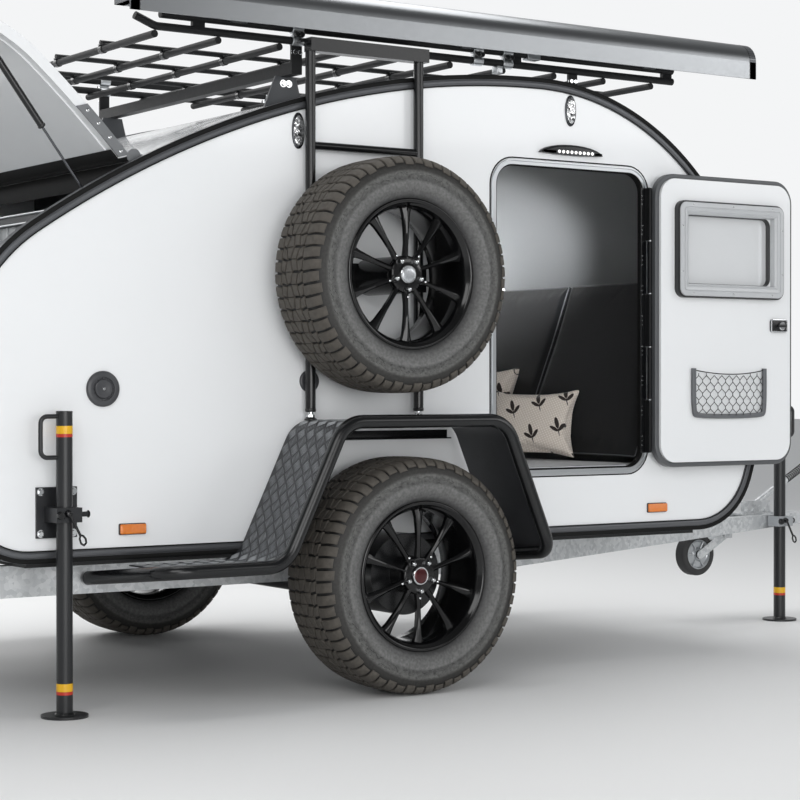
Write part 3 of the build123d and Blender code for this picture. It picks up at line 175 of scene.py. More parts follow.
def carried(profile, path, up=(0, 0, 1), closed=False):
    """A closed profile of (across, over) carried along a path of points.

    At each point the profile lies square to the path's direction, with over towards up.
    """
    path = np.asarray(path, float)
    if closed:
        ahead, behind = np.roll(path, -1, 0), np.roll(path, 1, 0)
    else:
        ahead, behind = np.vstack([path[1:], path[-1:]]), np.vstack([path[:1], path[:-1]])
    along = ahead - behind
    along /= np.linalg.norm(along, axis=1)[:, None]
    ups = np.broadcast_to(np.asarray(up, float), path.shape)
    across = np.cross(ups, along)
    across /= np.linalg.norm(across, axis=1)[:, None]
    over = np.cross(along, across)
    profile = np.asarray(profile, float)
    points = path[:, None] + profile[:, :1] * across[:, None] + profile[:, 1:] * over[:, None]
    return grid(points, close_rows=closed, close_columns=True, cap=not closed)


def circle(radius, count=12):
    """Points of a circle: radius * (cos a, sin a)."""
    angle = np.linspace(0, 2 * np.pi, count, endpoint=False)
    return radius * np.stack([np.cos(angle), np.sin(angle)], -1)


def bar(start, end, radius, count=16, edge=None):
    """A round bar from start to end with a small chamfer at both ends."""
    start, end = np.asarray(start, float), np.asarray(end, float)
    length = np.linalg.norm(end - start)
    edge = min(radius * 0.25, length * 0.3) if edge is None else edge
    profile = [(0, radius - edge), (edge, radius), (length - edge, radius), (length, radius - edge)]
    return turned(profile, start, end - start, count)


def rounded(width, height, radius, corner=6):
    """Points round a rectangle with round corners: each corner is a quarter circle."""
    radius = min(radius, width / 2 - 1e-6, height / 2 - 1e-6)
    quarter = np.linspace(0, np.pi / 2, corner)
    turn = np.concatenate([quarter + k * np.pi / 2 for k in range(4)])
    sign_x = np.repeat([1, -1, -1, 1], corner)
    sign_y = np.repeat([1, 1, -1, -1], corner)
    x = sign_x * (width / 2 - radius) + radius * np.cos(turn)
    y = sign_y * (height / 2 - radius) + radius * np.sin(turn)
    return np.stack([x, y], -1)


def plate(outline, depth, centre, facing=(0, -1, 0), edge=0.001, up=(0, 0, 1)):
    """An outline with thickness, its front edge rounded over by edge.

    Row k of the grid is the outline pulled in by edge * (1 - cos) and raised by edge * sin.
    """
    across, over, out = basis(facing, up)
    outline = np.asarray(outline, float)
    before, after = np.roll(outline, 1, 0), np.roll(outline, -1, 0)
    side = after - before
    normal = np.stack([side[:, 1], -side[:, 0]], -1)
    normal /= np.maximum(np.linalg.norm(normal, axis=1), 1e-9)[:, None]
    turn = np.linspace(0, np.pi / 2, 4)
    inset = np.concatenate([[0], edge * (1 - np.cos(turn))])
    height = np.concatenate([[0], depth - edge + edge * np.sin(turn)])
    flat = outline[None] - inset[:, None, None] * normal[None]
    points = np.asarray(centre) + flat[..., :1] * across + flat[..., 1:] * over
    return grid(points + height[:, None, None] * out, close_columns=True, cap=True)


def placed(centre, facing=(0, -1, 0), up=(0, 0, 1)):
    """A 4 by 4 matrix that puts a shape drawn in XY, with Z outwards, at centre."""
    matrix = np.eye(4)
    matrix[:3, :3] = np.stack(basis(facing, up), -1)
    matrix[:3, 3] = centre
    return matrix


# %% A shell becomes a piece


def piece(name, shells, finish, body="trailer", slot=None, sharp=35, attribute=None, places=None):
    """Make one mesh of one or more shells: normals outwards, smooth with creases over sharp degrees.

    finish is a material, or the name of a slot whose finish the piece takes.
    places are the matrices of its copies, where it has more than one or isn't drawn in place.
    """
    points, faces = merge(*([shells] if isinstance(shells, tuple) else shells))
    if places is not None:
        points, faces = repeat((points, faces), places)
    if isinstance(finish, str):
        finish, slot = FINISH[finish], finish
    mesh = bpy.data.meshes.new(name)
    mesh.from_pydata(points, [], faces)
    if attribute is not None:
        layer = mesh.attributes.new(attribute[0], "FLOAT_VECTOR", "POINT")
        layer.data.foreach_set("vector", np.asarray(attribute[1], np.float32).ravel())
    work = bmesh.new()
    work.from_mesh(mesh)
    bmesh.ops.recalc_face_normals(work, faces=work.faces)
    work.to_mesh(mesh)
    work.free()
    mesh.shade_smooth()
    mesh.set_sharp_from_angle(angle=math.radians(sharp))
    mesh.materials.append(finish)
    made = bpy.data.objects.new(name, mesh)
    bpy.context.scene.collection.objects.link(made)
    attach(made, body)
    print(name, len(points), "points", len(faces), "faces")
    return made


# %% [markdown]
# ## Camera, stage and light
#
# The camera stands where the photographer stood: about a metre above the ground, behind and to the
# right of the trailer, looking almost level through a long lens. Its place and turn come from
# the wheels, the ground contacts and the level edges of the body. The stage is a plain pale floor
# under large soft lamps, and the white distance is only for what the camera, mirrors and glass see.

# %% Camera
look = Vector((0.5604, 0.8282, -0.00725)).normalized()
right = look.cross(Vector((0, 0, 1))).normalized()
over = right.cross(look)
camera = bpy.data.objects.new("photo_camera", bpy.data.cameras.new("photo_camera"))
bpy.context.scene.collection.objects.link(camera)
camera.data.sensor_width = 36
focal_pixels, picture_pixels = 2068, 800
camera.data.lens = focal_pixels / picture_pixels * camera.data.sensor_width
camera.data.clip_end = 200
turn = Matrix((right, over, -look)).transposed().to_4x4()
camera.matrix_world = Matrix.Translation(Vector(at(-3833, -6599, 1010))) @ turn
bpy.context.scene.camera = camera
bpy.context.scene.view_settings.view_transform = "Standard"
print("camera at", tuple(round(v, 3) for v in camera.matrix_world.translation), "lens", round(camera.data.lens, 2))

# %% Colours and nodes


def linear(code):
    """An sRGB hex colour as linear light: ((c + 0.055) / 1.055) ** 2.4 above 0.04045."""
    value = np.array([int(code[i:i + 2], 16) / 255 for i in (0, 2, 4)])
    light = np.where(value > 0.04045, ((value + 0.055) / 1.055) ** 2.4, value / 12.92)
    return (*light.tolist(), 1.0)


def fill(tree, target, inputs):
    """Give a node's inputs their values, or link them to other nodes' outputs."""
    for key, value in inputs.items():
        if isinstance(value, bpy.types.NodeSocket):
            tree.links.new(value, target.inputs[key])
        else:
            target.inputs[key].default_value = value


def node(tree, kind, inputs=None, **settings):
    """Add a node, give it its settings, then fill its inputs."""
    made = tree.nodes.new(kind)
    for key, value in settings.items():
        setattr(made, key, value)
    fill(tree, made, inputs or {})
    return made


def maths(tree, operation, *values):
    """The result of one operation on up to three values."""
    return node(tree, "ShaderNodeMath", dict(enumerate(values)), operation=operation).outputs[0]


def ranged(tree, value, low, high, to_low, to_high):
    """A value whose range low to high is spread over to_low to to_high, and held at both ends."""
    return node(tree, "ShaderNodeMapRange", {"Value": value, "From Min": low, "From Max": high, "To Min": to_low,
                                             "To Max": to_high}).outputs["Result"]


def blend(tree, share, first, second, **settings):
    """A colour made of two: first at share 0, second at share 1."""
    return node(tree, "ShaderNodeMix", {0: share, 6: first, 7: second}, data_type="RGBA", **settings).outputs[2]


def noise(tree, place, size, detail):
    """Cloud noise whose spots are about size millimetres wide."""
    return node(tree, "ShaderNodeTexNoise", {"Vector": place, "Scale": 1000 / size, "Detail": detail}).outputs["Fac"]


# %% Floor, distance and lamps
world = bpy.data.worlds.new("studio")
bpy.context.scene.world = world
world.use_nodes = True
tree = world.node_tree
tree.nodes.clear()
ray = node(tree, "ShaderNodeLightPath").outputs
mirrored = maths(tree, "MAXIMUM", ray["Is Glossy Ray"], ray["Is Transmission Ray"])
# Mirrors and glass see the pale band round the horizon, a dimmer ceiling, and a dimmer room on the
# side where the lamps stand, so black enamel stays black.
way = node(tree, "ShaderNodeSeparateXYZ", {"Vector": node(tree, "ShaderNodeTexCoord").outputs["Generated"]}).outputs
ceiling = ranged(tree, way["Z"], 0.05, 0.6, 0.95, 0.3)
behind = ranged(tree, way["Y"], -0.5, 0.1, 0.38, 1.0)
shine = maths(tree, "MAXIMUM", ray["Is Camera Ray"], maths(tree, "MULTIPLY", ceiling, behind))
seen = maths(tree, "MAXIMUM", ray["Is Camera Ray"], mirrored)
dim = node(tree, "ShaderNodeBackground", {"Color": linear("EEF1F5"), "Strength": 0.5})
pale = node(tree, "ShaderNodeBackground", {"Color": linear("F4F5F6"), "Strength": shine})
both = node(tree, "ShaderNodeMixShader", {0: seen, 1: dim.outputs[0], 2: pale.outputs[0]})
node(tree, "ShaderNodeOutputWorld", {"Surface": both.outputs[0]})

floor_finish = bpy.data.materials.new("pale_studio_floor")
floor_finish.use_nodes = True
tree = floor_finish.node_tree
fill(tree, tree.nodes["Principled BSDF"], {"Base Color": linear("E4E4E3"), "Roughness": 0.55})
floor_mesh = bpy.data.meshes.new("floor")
floor_mesh.from_pydata([(-40, -40, 0), (40, -40, 0), (40, 60, 0), (-40, 60, 0)], [], [(0, 1, 2, 3)])
floor_mesh.materials.append(floor_finish)
floor = bpy.data.objects.new("floor", floor_mesh)
bpy.context.scene.collection.objects.link(floor)


def lamp(name, place, target, size, power):
    """A soft rectangular lamp at place that shines at target, white, with its power in watts."""
    data = bpy.data.lights.new(name, "AREA")
    data.shape = "RECTANGLE"
    data.size, data.size_y = size
    data.energy = power
    made = bpy.data.objects.new(name, data)
    bpy.context.scene.collection.objects.link(made)
    back = Vector(place) - Vector(target)
    made.matrix_world = Matrix.Translation(Vector(place)) @ back.to_track_quat("Z", "Y").to_matrix().to_4x4()
    return made


lamp("key_softbox", (-5.0, -5.5, 4.2), (-0.3, -0.8, 0.9), (4.0, 3.0), 118)
lamp("nose_softbox", (5.5, -4.0, 3.4), (0.4, -0.6, 1.0), (3.0, 2.5), 28)
lamp("front_fill", (-2.6, -9.0, 1.4), (-0.3, -0.7, 0.8), (6.0, 3.2), 245)
lamp("top_softbox", (0.0, 0.5, 5.2), (0.0, 0.0, 1.0), (5.0, 3.5), 170)
lamp("left_softbox", (-1.0, 6.0, 3.6), (0.0, 0.5, 1.0), (5.0, 3.0), 150)
lamp("awning_card", (4.6, -6.4, 3.35), (0.6, -0.85, 2.2), (4.5, 1.3), 44)
# The outside lamps hardly reach into the closed cabin: a small lamp under its shelf lights the lining.
cabin = lamp("cabin_fill", at(-430, 0, 1500), at(1400, 0, 1760), (0.3, 1.1), 0.8)
# Daylight through the doorway reaches the left part of the nose only: a narrow beam beside the front jamb.
beam = lamp("doorway_beam", (0.60, -0.70, 1.50), (0.97, 0.68, 1.53), (0.12, 0.12), 6.0)
beam.data.spread = math.radians(43)
for inside in (cabin, beam):
    inside.visible_camera = False
    inside.visible_glossy = False

# %% [markdown]
# ## Finishes
#
# Each finish starts from what the real surface is and how it was made. Most share one build:
# two near tones mixed by slow clouds, a fine grit that moves the gloss a little, and a relief.
# Sharp solid edges catch no light in a render, though no real edge is that sharp, so a Bevel node
# can round them for the eye by about a millimetre. Patterns read Object coordinates, which are
# metres here, so a pattern's scale is 1000 divided by its real size in millimetres.

# %% One build for most finishes


def finish(name, tones, roughness, metallic=0.0, cloud=300.0, grit=2.0, relief=0.03, spread=0.05, edge=0.0,
           **sockets):
    """Tone = mix(tones, cloud noise); gloss = roughness +- spread * grit noise; relief in mm from grit noise."""
    made = bpy.data.materials.new(name)
    made.use_nodes = True
    tree = made.node_tree
    shader = tree.nodes["Principled BSDF"]
    place = node(tree, "ShaderNodeTexCoord").outputs["Object"]
    tone = blend(tree, noise(tree, place, cloud, 4.0), linear(tones[0]), linear(tones[1]))
    grains = noise(tree, place, grit, 3.0)
    gloss = ranged(tree, grains, 0.3, 0.7, roughness - spread, roughness + spread)
    bump = node(tree, "ShaderNodeBump", {"Height": grains, "Distance": relief / 1000})
    if edge:
        bevel = node(tree, "ShaderNodeBevel", {"Radius": edge / 1000}, samples=4)
        fill(tree, bump, {"Normal": bevel.outputs["Normal"]})
    fill(tree, shader, {"Base Color": tone, "Roughness": gloss, "Normal": bump.outputs["Normal"],
                        "Metallic": metallic})
    fill(tree, shader, {key.replace("_", " "): value for key, value in sockets.items()})
    return made


def parts_of(made):
    """The node tree, the shader, the Object coordinates and the bump node of a finish."""
    tree = made.node_tree
    kinds = {n.bl_idname: n for n in tree.nodes}
    place = kinds["ShaderNodeTexCoord"].outputs["Object"]
    return tree, kinds["ShaderNodeBsdfPrincipled"], place, kinds["ShaderNodeBump"]


# %% Painted and coated metal
FINISH = {}
# Polyester sandwich panel with a gelcoat face: a deep gloss with a very faint waviness.
FINISH["gloss_white"] = finish("gelcoat_white", ("EDEEEF", "E7E9EA"), 0.16, cloud=700, grit=9, relief=0.05,
                               spread=0.03, edge=1.5, Coat_Weight=0.5, Coat_Roughness=0.06)
# Powder coat baked on steel tube: a smooth, fairly glossy black with hardly any orange peel.
FINISH["black_steel"] = finish("powder_coated_steel", ("0B0C0D", "131416"), 0.25, cloud=250, grit=9,
                               relief=0.006, spread=0.02, edge=1.0)
# The rack overhead has the matt kind, so its tubes stay dark under the pale sky of the studio.
RACK_COAT = finish("powder_coated_matt_black", ("0E0F10", "151618"), 0.55, cloud=250, grit=9, relief=0.006,
                   spread=0.03, edge=1.0, Specular_IOR_Level=0.3)
# The same bake in a warm dark grey, on the rack's gussets and the awning's extrusion.
FINISH["anthracite"] = finish("powder_coated_aluminium", ("393B3E", "434548"), 0.40, cloud=220, grit=1.8,
                              relief=0.04, edge=1.0)
# Dark anodised aluminium edge profile: metal under a grey oxide skin, drawn lengthwise.
FINISH["edge_moulding"] = finish("anodised_edge_profile", ("5C5E61", "68696C"), 0.38, metallic=0.6, cloud=160,
                                 grit=6, relief=0.01)
# Phenolic-faced plywood floor, almost black, seen only along the sill.
FINISH["floor_black"] = finish("phenolic_ply_floor", ("151617", "1D1E1F"), 0.55, cloud=180, grit=2.5)
# Cast wheel under black stove enamel.
FINISH["wheel_black"] = finish("stove_enamel_black", ("070708", "0C0C0D"), 0.14, cloud=120, grit=8, relief=0.004,
                               spread=0.02, edge=0.8, Specular_IOR_Level=0.4, Coat_Weight=0.15, Coat_Roughness=0.05)

# %% Bare metal
# Natural anodised aluminium: a bright grey with soft, wide highlights.
FINISH["light_alloy"] = finish("anodised_aluminium", ("C2C5C8", "CDD0D2"), 0.3, metallic=1.0, cloud=200,
                               grit=12, relief=0.004, spread=0.01, edge=0.8)
# Chromium plate and polished stainless steel.
FINISH["bright_steel"] = finish("chrome_plate", ("D6D8DA", "E2E4E5"), 0.09, metallic=1.0, cloud=60, grit=3,
                                relief=0.005, spread=0.03, edge=0.5)
# Hot-dip galvanised steel: zinc crystals a centimetre wide, each with its own grey and gloss.
galvanised = finish("hot_dip_zinc", ("9A9EA1", "ADB0B2"), 0.42, metallic=0.6, cloud=90, grit=1.5, relief=0.05,
                    edge=1.2)
tree, shader, place, bump = parts_of(galvanised)
spangle = node(tree, "ShaderNodeTexVoronoi", {"Vector": place, "Scale": 1000 / 14})
grey = node(tree, "ShaderNodeSeparateColor", {"Color": spangle.outputs["Color"]}).outputs
fill(tree, shader, {"Base Color": blend(tree, grey["Red"], linear("C0C3C5"), linear("DDDFE0")),
                    "Roughness": ranged(tree, grey["Green"], 0.0, 1.0, 0.34, 0.56)})
FINISH["galvanised"] = galvanised

# %% Plastic, rubber and board
# Moulded ABS, nearly black, with a spark-eroded grain.
FINISH["fittings_black"] = finish("moulded_abs_black", ("131415", "1A1B1C"), 0.3, cloud=60, grit=0.9, relief=0.02,
                                  edge=0.8, IOR=1.53)
FINISH["door_fitting"] = finish("moulded_abs_grey", ("A4A6A9", "AEB0B3"), 0.34, cloud=80, grit=0.9, relief=0.02,
                                edge=1.0, IOR=1.53)
# EPDM sealing rubber.
RUBBER_SEAL = finish("epdm_seal", ("0C0C0C", "131313"), 0.6, cloud=50, grit=1.0, relief=0.03,
                     Specular_IOR_Level=0.2)
# Vulcanised tyre rubber: carbon black that weathers to a warm grey, matt.
FINISH["tyre_rubber"] = finish("tyre_sidewall_rubber", ("2C2C2D", "3A3A3A"), 0.66, cloud=35, grit=1.5,
                               relief=0.12, spread=0.08)
TREAD_RUBBER = finish("tyre_tread_rubber", ("3B3834", "58534C"), 0.78, cloud=16, grit=1.8, relief=0.25, spread=0.06)
# Melamine-faced board in a dark graphite with a fine embossed grain.
FINISH["board_dark"] = finish("melamine_board", ("25272A", "2E3033"), 0.45, cloud=140, grit=1.6, relief=0.06,
                              edge=0.8)
# Double acrylic pane with a mirror tint: its pale colour is painted reflection of a bright room, and pressed sheets are
# never flat, so its reflections wave.
FINISH["window_glass"] = finish("mirror_tinted_acrylic_painted_reflection", ("E6E8EA", "F0F2F3"), 0.05, metallic=0.3, cloud=400,
                                grit=110, relief=1.6, spread=0.02, IOR=1.49, Coat_Weight=1.0, Coat_Roughness=0.03)
# Chequer plate: rolled sheet under thin grey-black paint; its raised bars get a pale grey, a painted highlight for the
# light their tops catch.
FINISH["chequer_plate"] = finish("rolled_sheet_dark", ("303134", "3A3B3E"), 0.42, metallic=0.3, cloud=70, grit=3,
                                 relief=0.06)
CHEQUER_BARS_PAINTED_HIGHLIGHT = finish("rolled_bars_painted_highlight", ("9A9DA0", "B0B3B5"), 0.36, metallic=0.5, cloud=45, grit=3,
                      relief=0.05)

# %% Cloth and lining
# Foam-backed vinyl on the ceiling: matt, mid grey, faint leather grain.
FINISH["grey_lining"] = finish("foam_backed_vinyl", ("6E7072", "797B7D"), 0.72, cloud=500, grit=3, relief=0.12)


def woven(name, tones, thread, relief, roughness=0.85, sheen=0.25):
    """Plain weave: height = sin(u) * sin(v), with a period of 2 pi / (20 * scale): scale = 314 / thread in mm."""
    made = finish(name, tones, roughness, cloud=120, grit=thread, relief=relief, Sheen_Weight=sheen,
                  Sheen_Roughness=0.5)
    tree, shader, place, bump = parts_of(made)
    turned_place = node(tree, "ShaderNodeMapping", {"Vector": place, "Rotation": (0.35, 0.2, 0.6)})
    waves = {"Vector": turned_place.outputs[0], "Scale": 314 / thread, "Distortion": 1.2, "Detail": 1.0}
    warp, weft = (node(tree, "ShaderNodeTexWave", waves, bands_direction=way) for way in "XZ")
    height = maths(tree, "MULTIPLY", warp.outputs["Fac"], weft.outputs["Fac"])
    fill(tree, bump, {"Height": height})
    return made, height


# Coarse polyester upholstery, black, and the ticking of the mattress below it.
FINISH["black_upholstery"], _ = woven("upholstery_cloth_black", ("0D0E0F", "131416"), 1.6, 0.12, sheen=0.05)
FINISH["mattress_cloth"], _ = woven("mattress_ticking_grey", ("B9BABB", "C6C7C8"), 1.6, 0.12)
# Natural linen and jute cover of the pillows, in an undyed beige.
FINISH["beige_weave"], _ = woven("linen_cover_beige", ("B5A797", "C6B9A9"), 5.0, 0.8, roughness=0.9)

# %% Lenses
# Clear polycarbonate over a silvered reflector, and the amber and red versions.
FINISH["lamp_clear"] = finish("polycarbonate_clear", ("C9CCCE", "D8DADB"), 0.1, metallic=0.6, cloud=20, grit=5,
                              relief=0.2, edge=0.8, Coat_Weight=1.0)
AMBER_LENS = finish("polycarbonate_amber", ("E0701A", "F08A24"), 0.14, cloud=15, grit=4, relief=0.25,
                    Coat_Weight=0.8)
RED_LENS = finish("polycarbonate_red", ("9E1414", "B81C1A"), 0.14, cloud=15, grit=4, relief=0.25, Coat_Weight=0.8)

# %% Give every CAD piece its finish
for name, solid in NODES.items():
    for holder in solid.material_slots:
        holder.material = FINISH[holder.material.name]
for name in ("rack_rails", "rack_deck_tubes", "rack_beams"):
    NODES[name].material_slots[0].material = RACK_COAT
print("finishes", len(FINISH), "on", len(NODES), "nodes")

# %% [markdown]
# ## Tyres
#
# An all-terrain tyre is a bulged carcass with a belt of rubber blocks moulded on it. The CAD
# holds the plain carcass; here the same section gets its ribs, and the blocks are laid on it.
# A block is drawn on a flat strip, u round the tyre and v across it, and wrapped on: v runs along
# the carcass section like a tape measure, so the outer blocks bend over the shoulder by themselves.

# %% The carcass section as a tape


def smooth(points, times=2):
    """Cut the corners of an open line: each run gives points at a quarter and three quarters of it."""
    points = np.asarray(points, float)
    for _ in range(times):
        low, high = points[:-1] * 0.75 + points[1:] * 0.25, points[:-1] * 0.25 + points[1:] * 0.75
        middle = np.stack([low, high], 1).reshape(-1, points.shape[1])
        points = np.vstack([points[:1], middle, points[-1:]])
    return points


# Distance from the tyre's middle and radius, in metres, from the tread's middle to the bead.
SECTION = smooth([(0, 0.3788), (0.07, 0.3778), (0.104, 0.3752), (0.1185, 0.3675), (0.127, 0.355),
                  (0.1325, 0.338), (0.1352, 0.315), (0.1345, 0.290), (0.1300, 0.268), (0.1215, 0.2515),
                  (0.1130, 0.2440), (0.1105, 0.2305)], 2)
TAPE = np.concatenate([[0], np.cumsum(np.linalg.norm(np.diff(SECTION, axis=0), axis=1))])
slope = np.gradient(SECTION, TAPE, axis=0)
LIFT = np.stack([-slope[:, 1], slope[:, 0]], -1) / np.linalg.norm(slope, axis=1)[:, None]


def on_tyre(u, v, height):
    """Point at angle u (radians), tape distance v (metres, signed) and height over the carcass."""
    side, reach = np.sign(v), np.abs(v)
    y = np.interp(reach, TAPE, SECTION[:, 0])
    r = np.interp(reach, TAPE, SECTION[:, 1])
    lift_y = np.interp(reach, TAPE, LIFT[:, 0])
    lift_r = np.interp(reach, TAPE, LIFT[:, 1])
    y, r = side * (y + height * lift_y), r + height * lift_r
    return np.stack([r * np.sin(u), y, r * np.cos(u)], -1)


print("carcass tape", round(TAPE[-1], 4), "m over", len(SECTION), "points")

# %% Tread blocks
PITCHES = 60
GROOVE = 0.0082
BLOCK_HEIGHT = 0.0087
BLOCK_EDGE = 0.0014
TREAD_R = 0.38


def zigzag(u, middle, swing):
    """A line round the tyre that swings from middle + swing at even pitches to middle - swing at odd ones."""
    return middle + swing * np.interp(np.mod(u / (2 * np.pi) * PITCHES, 2), [0, 1, 2], [1, -1, 1])


def tread_row(inner, outer, lean, start=0, pair_gap=None, long_ends=0.0):
    """One row of blocks between two zigzag lines, given as (middle, swing).

    In a block s runs round and t across from 0 to 1: u = pitch start + s + lean * (t - 1/2), and v
    goes from the inner line to the outer one, half a groove clear of both. The outer points of the
    grid lie on the carcass and the others higher, so each block is a low mound with a flat top.
    pair_gap narrows every second cross groove to a sipe, and long_ends lengthens every second block.
    """
    side = np.sign(inner[0] + outer[0])
    wide = abs(outer[0] - inner[0]) > 0.06
    rim_t = BLOCK_EDGE / abs(outer[0] - inner[0])
    t = np.array([0, 0, rim_t, *([0.2, 0.4, 0.52, 0.62, 0.72, 0.82, 0.9] if wide else [0.5]), 1 - rim_t, 1, 1])
    rise_t = np.concatenate([[0, 0.8], np.ones(len(t) - 4), [0.8, 0]])
    arc = 2 * np.pi * TREAD_R / PITCHES
    k = np.arange(PITCHES)
    low = np.full(PITCHES, GROOVE / 2 / arc)
    high = 1 - low
    if pair_gap is not None:
        high[start % 2::2] = 1 - pair_gap / 2 / arc
        low[(start + 1) % 2::2] = pair_gap / 2 / arc
    rim_s = BLOCK_EDGE / arc
    share = np.array([0, 0, 0, 0.5, 1, 1, 1])
    inset = np.array([0, 0, rim_s, 0, -rim_s, 0, 0])
    rise_s = np.array([0, 0.8, 1, 1, 1, 0.8, 0])
    s = low[:, None] + (high - low)[:, None] * share + inset
    step = 2 * np.pi / PITCHES
    u = (k[:, None, None] + s[:, :, None] + lean * (t - 0.5)[None, None]) * step
    line_in = zigzag(u, *inner) + side * GROOVE * 0.45
    line_out = zigzag(u, *outer) - side * GROOVE * 0.45 + side * long_ends * (k % 2)[:, None, None]
    v = line_in + (line_out - line_in) * t[None, None]
    fall = np.interp(np.abs(v), [0, 0.104, 0.125, 0.150], [1, 1, 0.72, 0.3])
    height = BLOCK_HEIGHT * fall * np.minimum(rise_s[None, :, None], rise_t[None, None]) - 0.0004
    points = on_tyre(u, v, height)
    return points.reshape(-1, 3), numbered(grid(points[0])[1], points[0, ..., 0].size, PITCHES)


TREAD = merge(
    tread_row((0, 0.0065), (0.0330, -0.0065), 0.0, 0, 0.0016),
    tread_row((0, 0.0065), (-0.0330, 0.0065), 0.0, 1, 0.0016),
    tread_row((0.0330, -0.0065), (0.0640, 0), 0.18),
    tread_row((-0.0330, 0.0065), (-0.0640, 0), 0.18),
    tread_row((0.0625, 0), (0.1330, 0), 0.16, long_ends=0.007),
    tread_row((-0.0625, 0), (-0.1330, 0), 0.16, long_ends=0.007),
)
print("tread blocks", PITCHES * 6, "faces", len(TREAD[1]))

# %% Carcass with ribs
# Faces of a low roof: four corner points, then the two ends of its ridge.
ROOF_FACES = [[0, 1, 4], [1, 2, 5, 4], [2, 3, 5], [3, 0, 4, 5], [3, 2, 1, 0]]


def carcass():
    """The section and its mirror image turned round the axle, closed inside the beads.

    A thin rib lies round both side walls: y = section + rise * exp(-((r - rib) / width) ** 2).
    """
    outer = SECTION.copy()
    for at_r, rib_width, rib_height in ((0.2585, 0.006, 0.0022), (0.3345, 0.003, 0.0016), (0.2990, 0.003, 0.0012)):
        outer[:, 0] += rib_height * np.exp(-((SECTION[:, 1] - at_r) / rib_width) ** 2)
    inner = np.array([(0.098, 0.2305), (0.112, 0.262), (0.122, 0.300), (0.118, 0.345), (0.095, 0.362), (0, 0.366)])
    half = np.vstack([outer, inner])
    loop = np.vstack([half, half[1:-1][::-1] * (-1, 1)])
    return turned(loop, (0, 0, 0), (0, 1, 0), 120, close=True)


def pebbles(low_r, high_r, count):
    """Short flat studs moulded between two radii: a lens each, its length and lean drawn at random."""
    draw = np.random.default_rng(7)
    shells = []
    for side in (1, -1):
        u = np.arange(count) / count * 2 * np.pi + draw.uniform(-0.01, 0.01, count)
        r = draw.uniform(low_r, high_r, count)
        v = np.interp(r, SECTION[::-1, 1], TAPE[::-1]) * side
        half, lean = draw.uniform(0.0035, 0.0085, count), draw.uniform(-0.6, 0.6, count)
        along = np.stack([half * np.cos(lean), half * np.sin(lean)], -1)
        across = np.stack([-along[:, 1], along[:, 0]], -1) * 0.45
        corners = [(reach, -0.0003) for reach in (along, across, -along, -across)]
        ridge = [(reach, 0.0020) for reach in (along * 0.45, -along * 0.45)]
        points = [on_tyre(u + reach[:, 0] / r, v + reach[:, 1], height) for reach, height in corners + ridge]
        shells.append((np.stack(points, 1).reshape(-1, 3), numbered(ROOF_FACES, 6, count)))
    return merge(*shells)


CARCASS = carcass()
SIDE_RIBS = pebbles(0.305, 0.331, 420)

# Tyre wall, coloured by radius: painted shade makes it black in the grooves and darker by the rim, painted highlight
# makes it lightest where the walls bulge and by the ribs; a fine noise adds real dust.
WALL_RUBBER_PAINTED_LIGHT = finish("tyre_wall_rubber_painted_light", ("3E3E3E", "4C4C4B"), 0.62, cloud=30, grit=1.5, relief=0.12, spread=0.08)
tree, shader, place, bump = parts_of(WALL_RUBBER_PAINTED_LIGHT)
reach = node(tree, "ShaderNodeSeparateXYZ",
             {"Vector": node(tree, "ShaderNodeAttribute", attribute_name="radius").outputs["Vector"]}).outputs["X"]
# bands holds the painted shade and painted highlight by radius.
bands = node(tree, "ShaderNodeValToRGB", {"Fac": reach})
ramp = bands.color_ramp.elements
ramp[0].position, ramp[0].color = 0.2450, linear("2A2A2A")
ramp[1].position, ramp[1].color = 0.3700, linear("0A0A0A")
for where, code in ((0.2550, "444444"), (0.2800, "5E5E5D"), (0.2980, "666665"), (0.3060, "4A4A49"),
                    (0.3300, "5A5A58"), (0.3380, "2E2D2B"), (0.3550, "22211F"), (0.3650, "0C0C0C")):
    ramp.new(where).color = linear(code)
dusty = ranged(tree, noise(tree, place, 9, 5.0), 0.35, 0.65, 0.75, 1.2)
fill(tree, shader, {"Base Color": blend(tree, 1.0, bands.outputs["Color"], dusty, blend_type="MULTIPLY")})

# %% Tyres on the three wheels


def wheel_place(centre, flip=False):
    """Move a wheel piece to its centre; the left one is first turned half a turn about Z."""
    matrix = np.diag([-1.0, -1.0, 1.0, 1.0]) if flip else np.eye(4)
    matrix[:3, 3] = centre
    return matrix


spare_low, spare_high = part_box("tyre_spare")
# Side: the body that carries the wheel, and the wheel's place.
WHEELS = {
    "right": ("wheel_right", [wheel_place((AXLE_X, -WHEEL_Y, TYRE_R))]),
    "left": ("wheel_left", [wheel_place((AXLE_X, WHEEL_Y, TYRE_R), flip=True)]),
    "spare": ("trailer", [wheel_place(tuple((spare_low + spare_high) / 2))]),
}
WALLS = merge(CARCASS, SIDE_RIBS)
reach = np.hypot(WALLS[0][:, 0], WALLS[0][:, 2])
wall_radius = ("radius", np.stack([reach, WALLS[0][:, 1], reach * 0], -1))
for side, (body, where) in WHEELS.items():
    walls = piece("tyre_walls_" + side, WALLS, WALL_RUBBER_PAINTED_LIGHT, body, "tyre_rubber", 50, wall_radius, where)
    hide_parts("tyre_" + side)
    piece("tyre_tread_" + side, TREAD, TREAD_RUBBER, body, "tyre_rubber", 50, places=where)

# %% [markdown]
# ## Rims
#
# A cast wheel: a deep barrel with a rolled lip, ten slim spokes that each have a ridge along the
# middle, a hub with five nuts and a plain cap. The barrel and hub are turned; a spoke is one grid,
# its cross-section a low roof whose width and depth change along the radius.

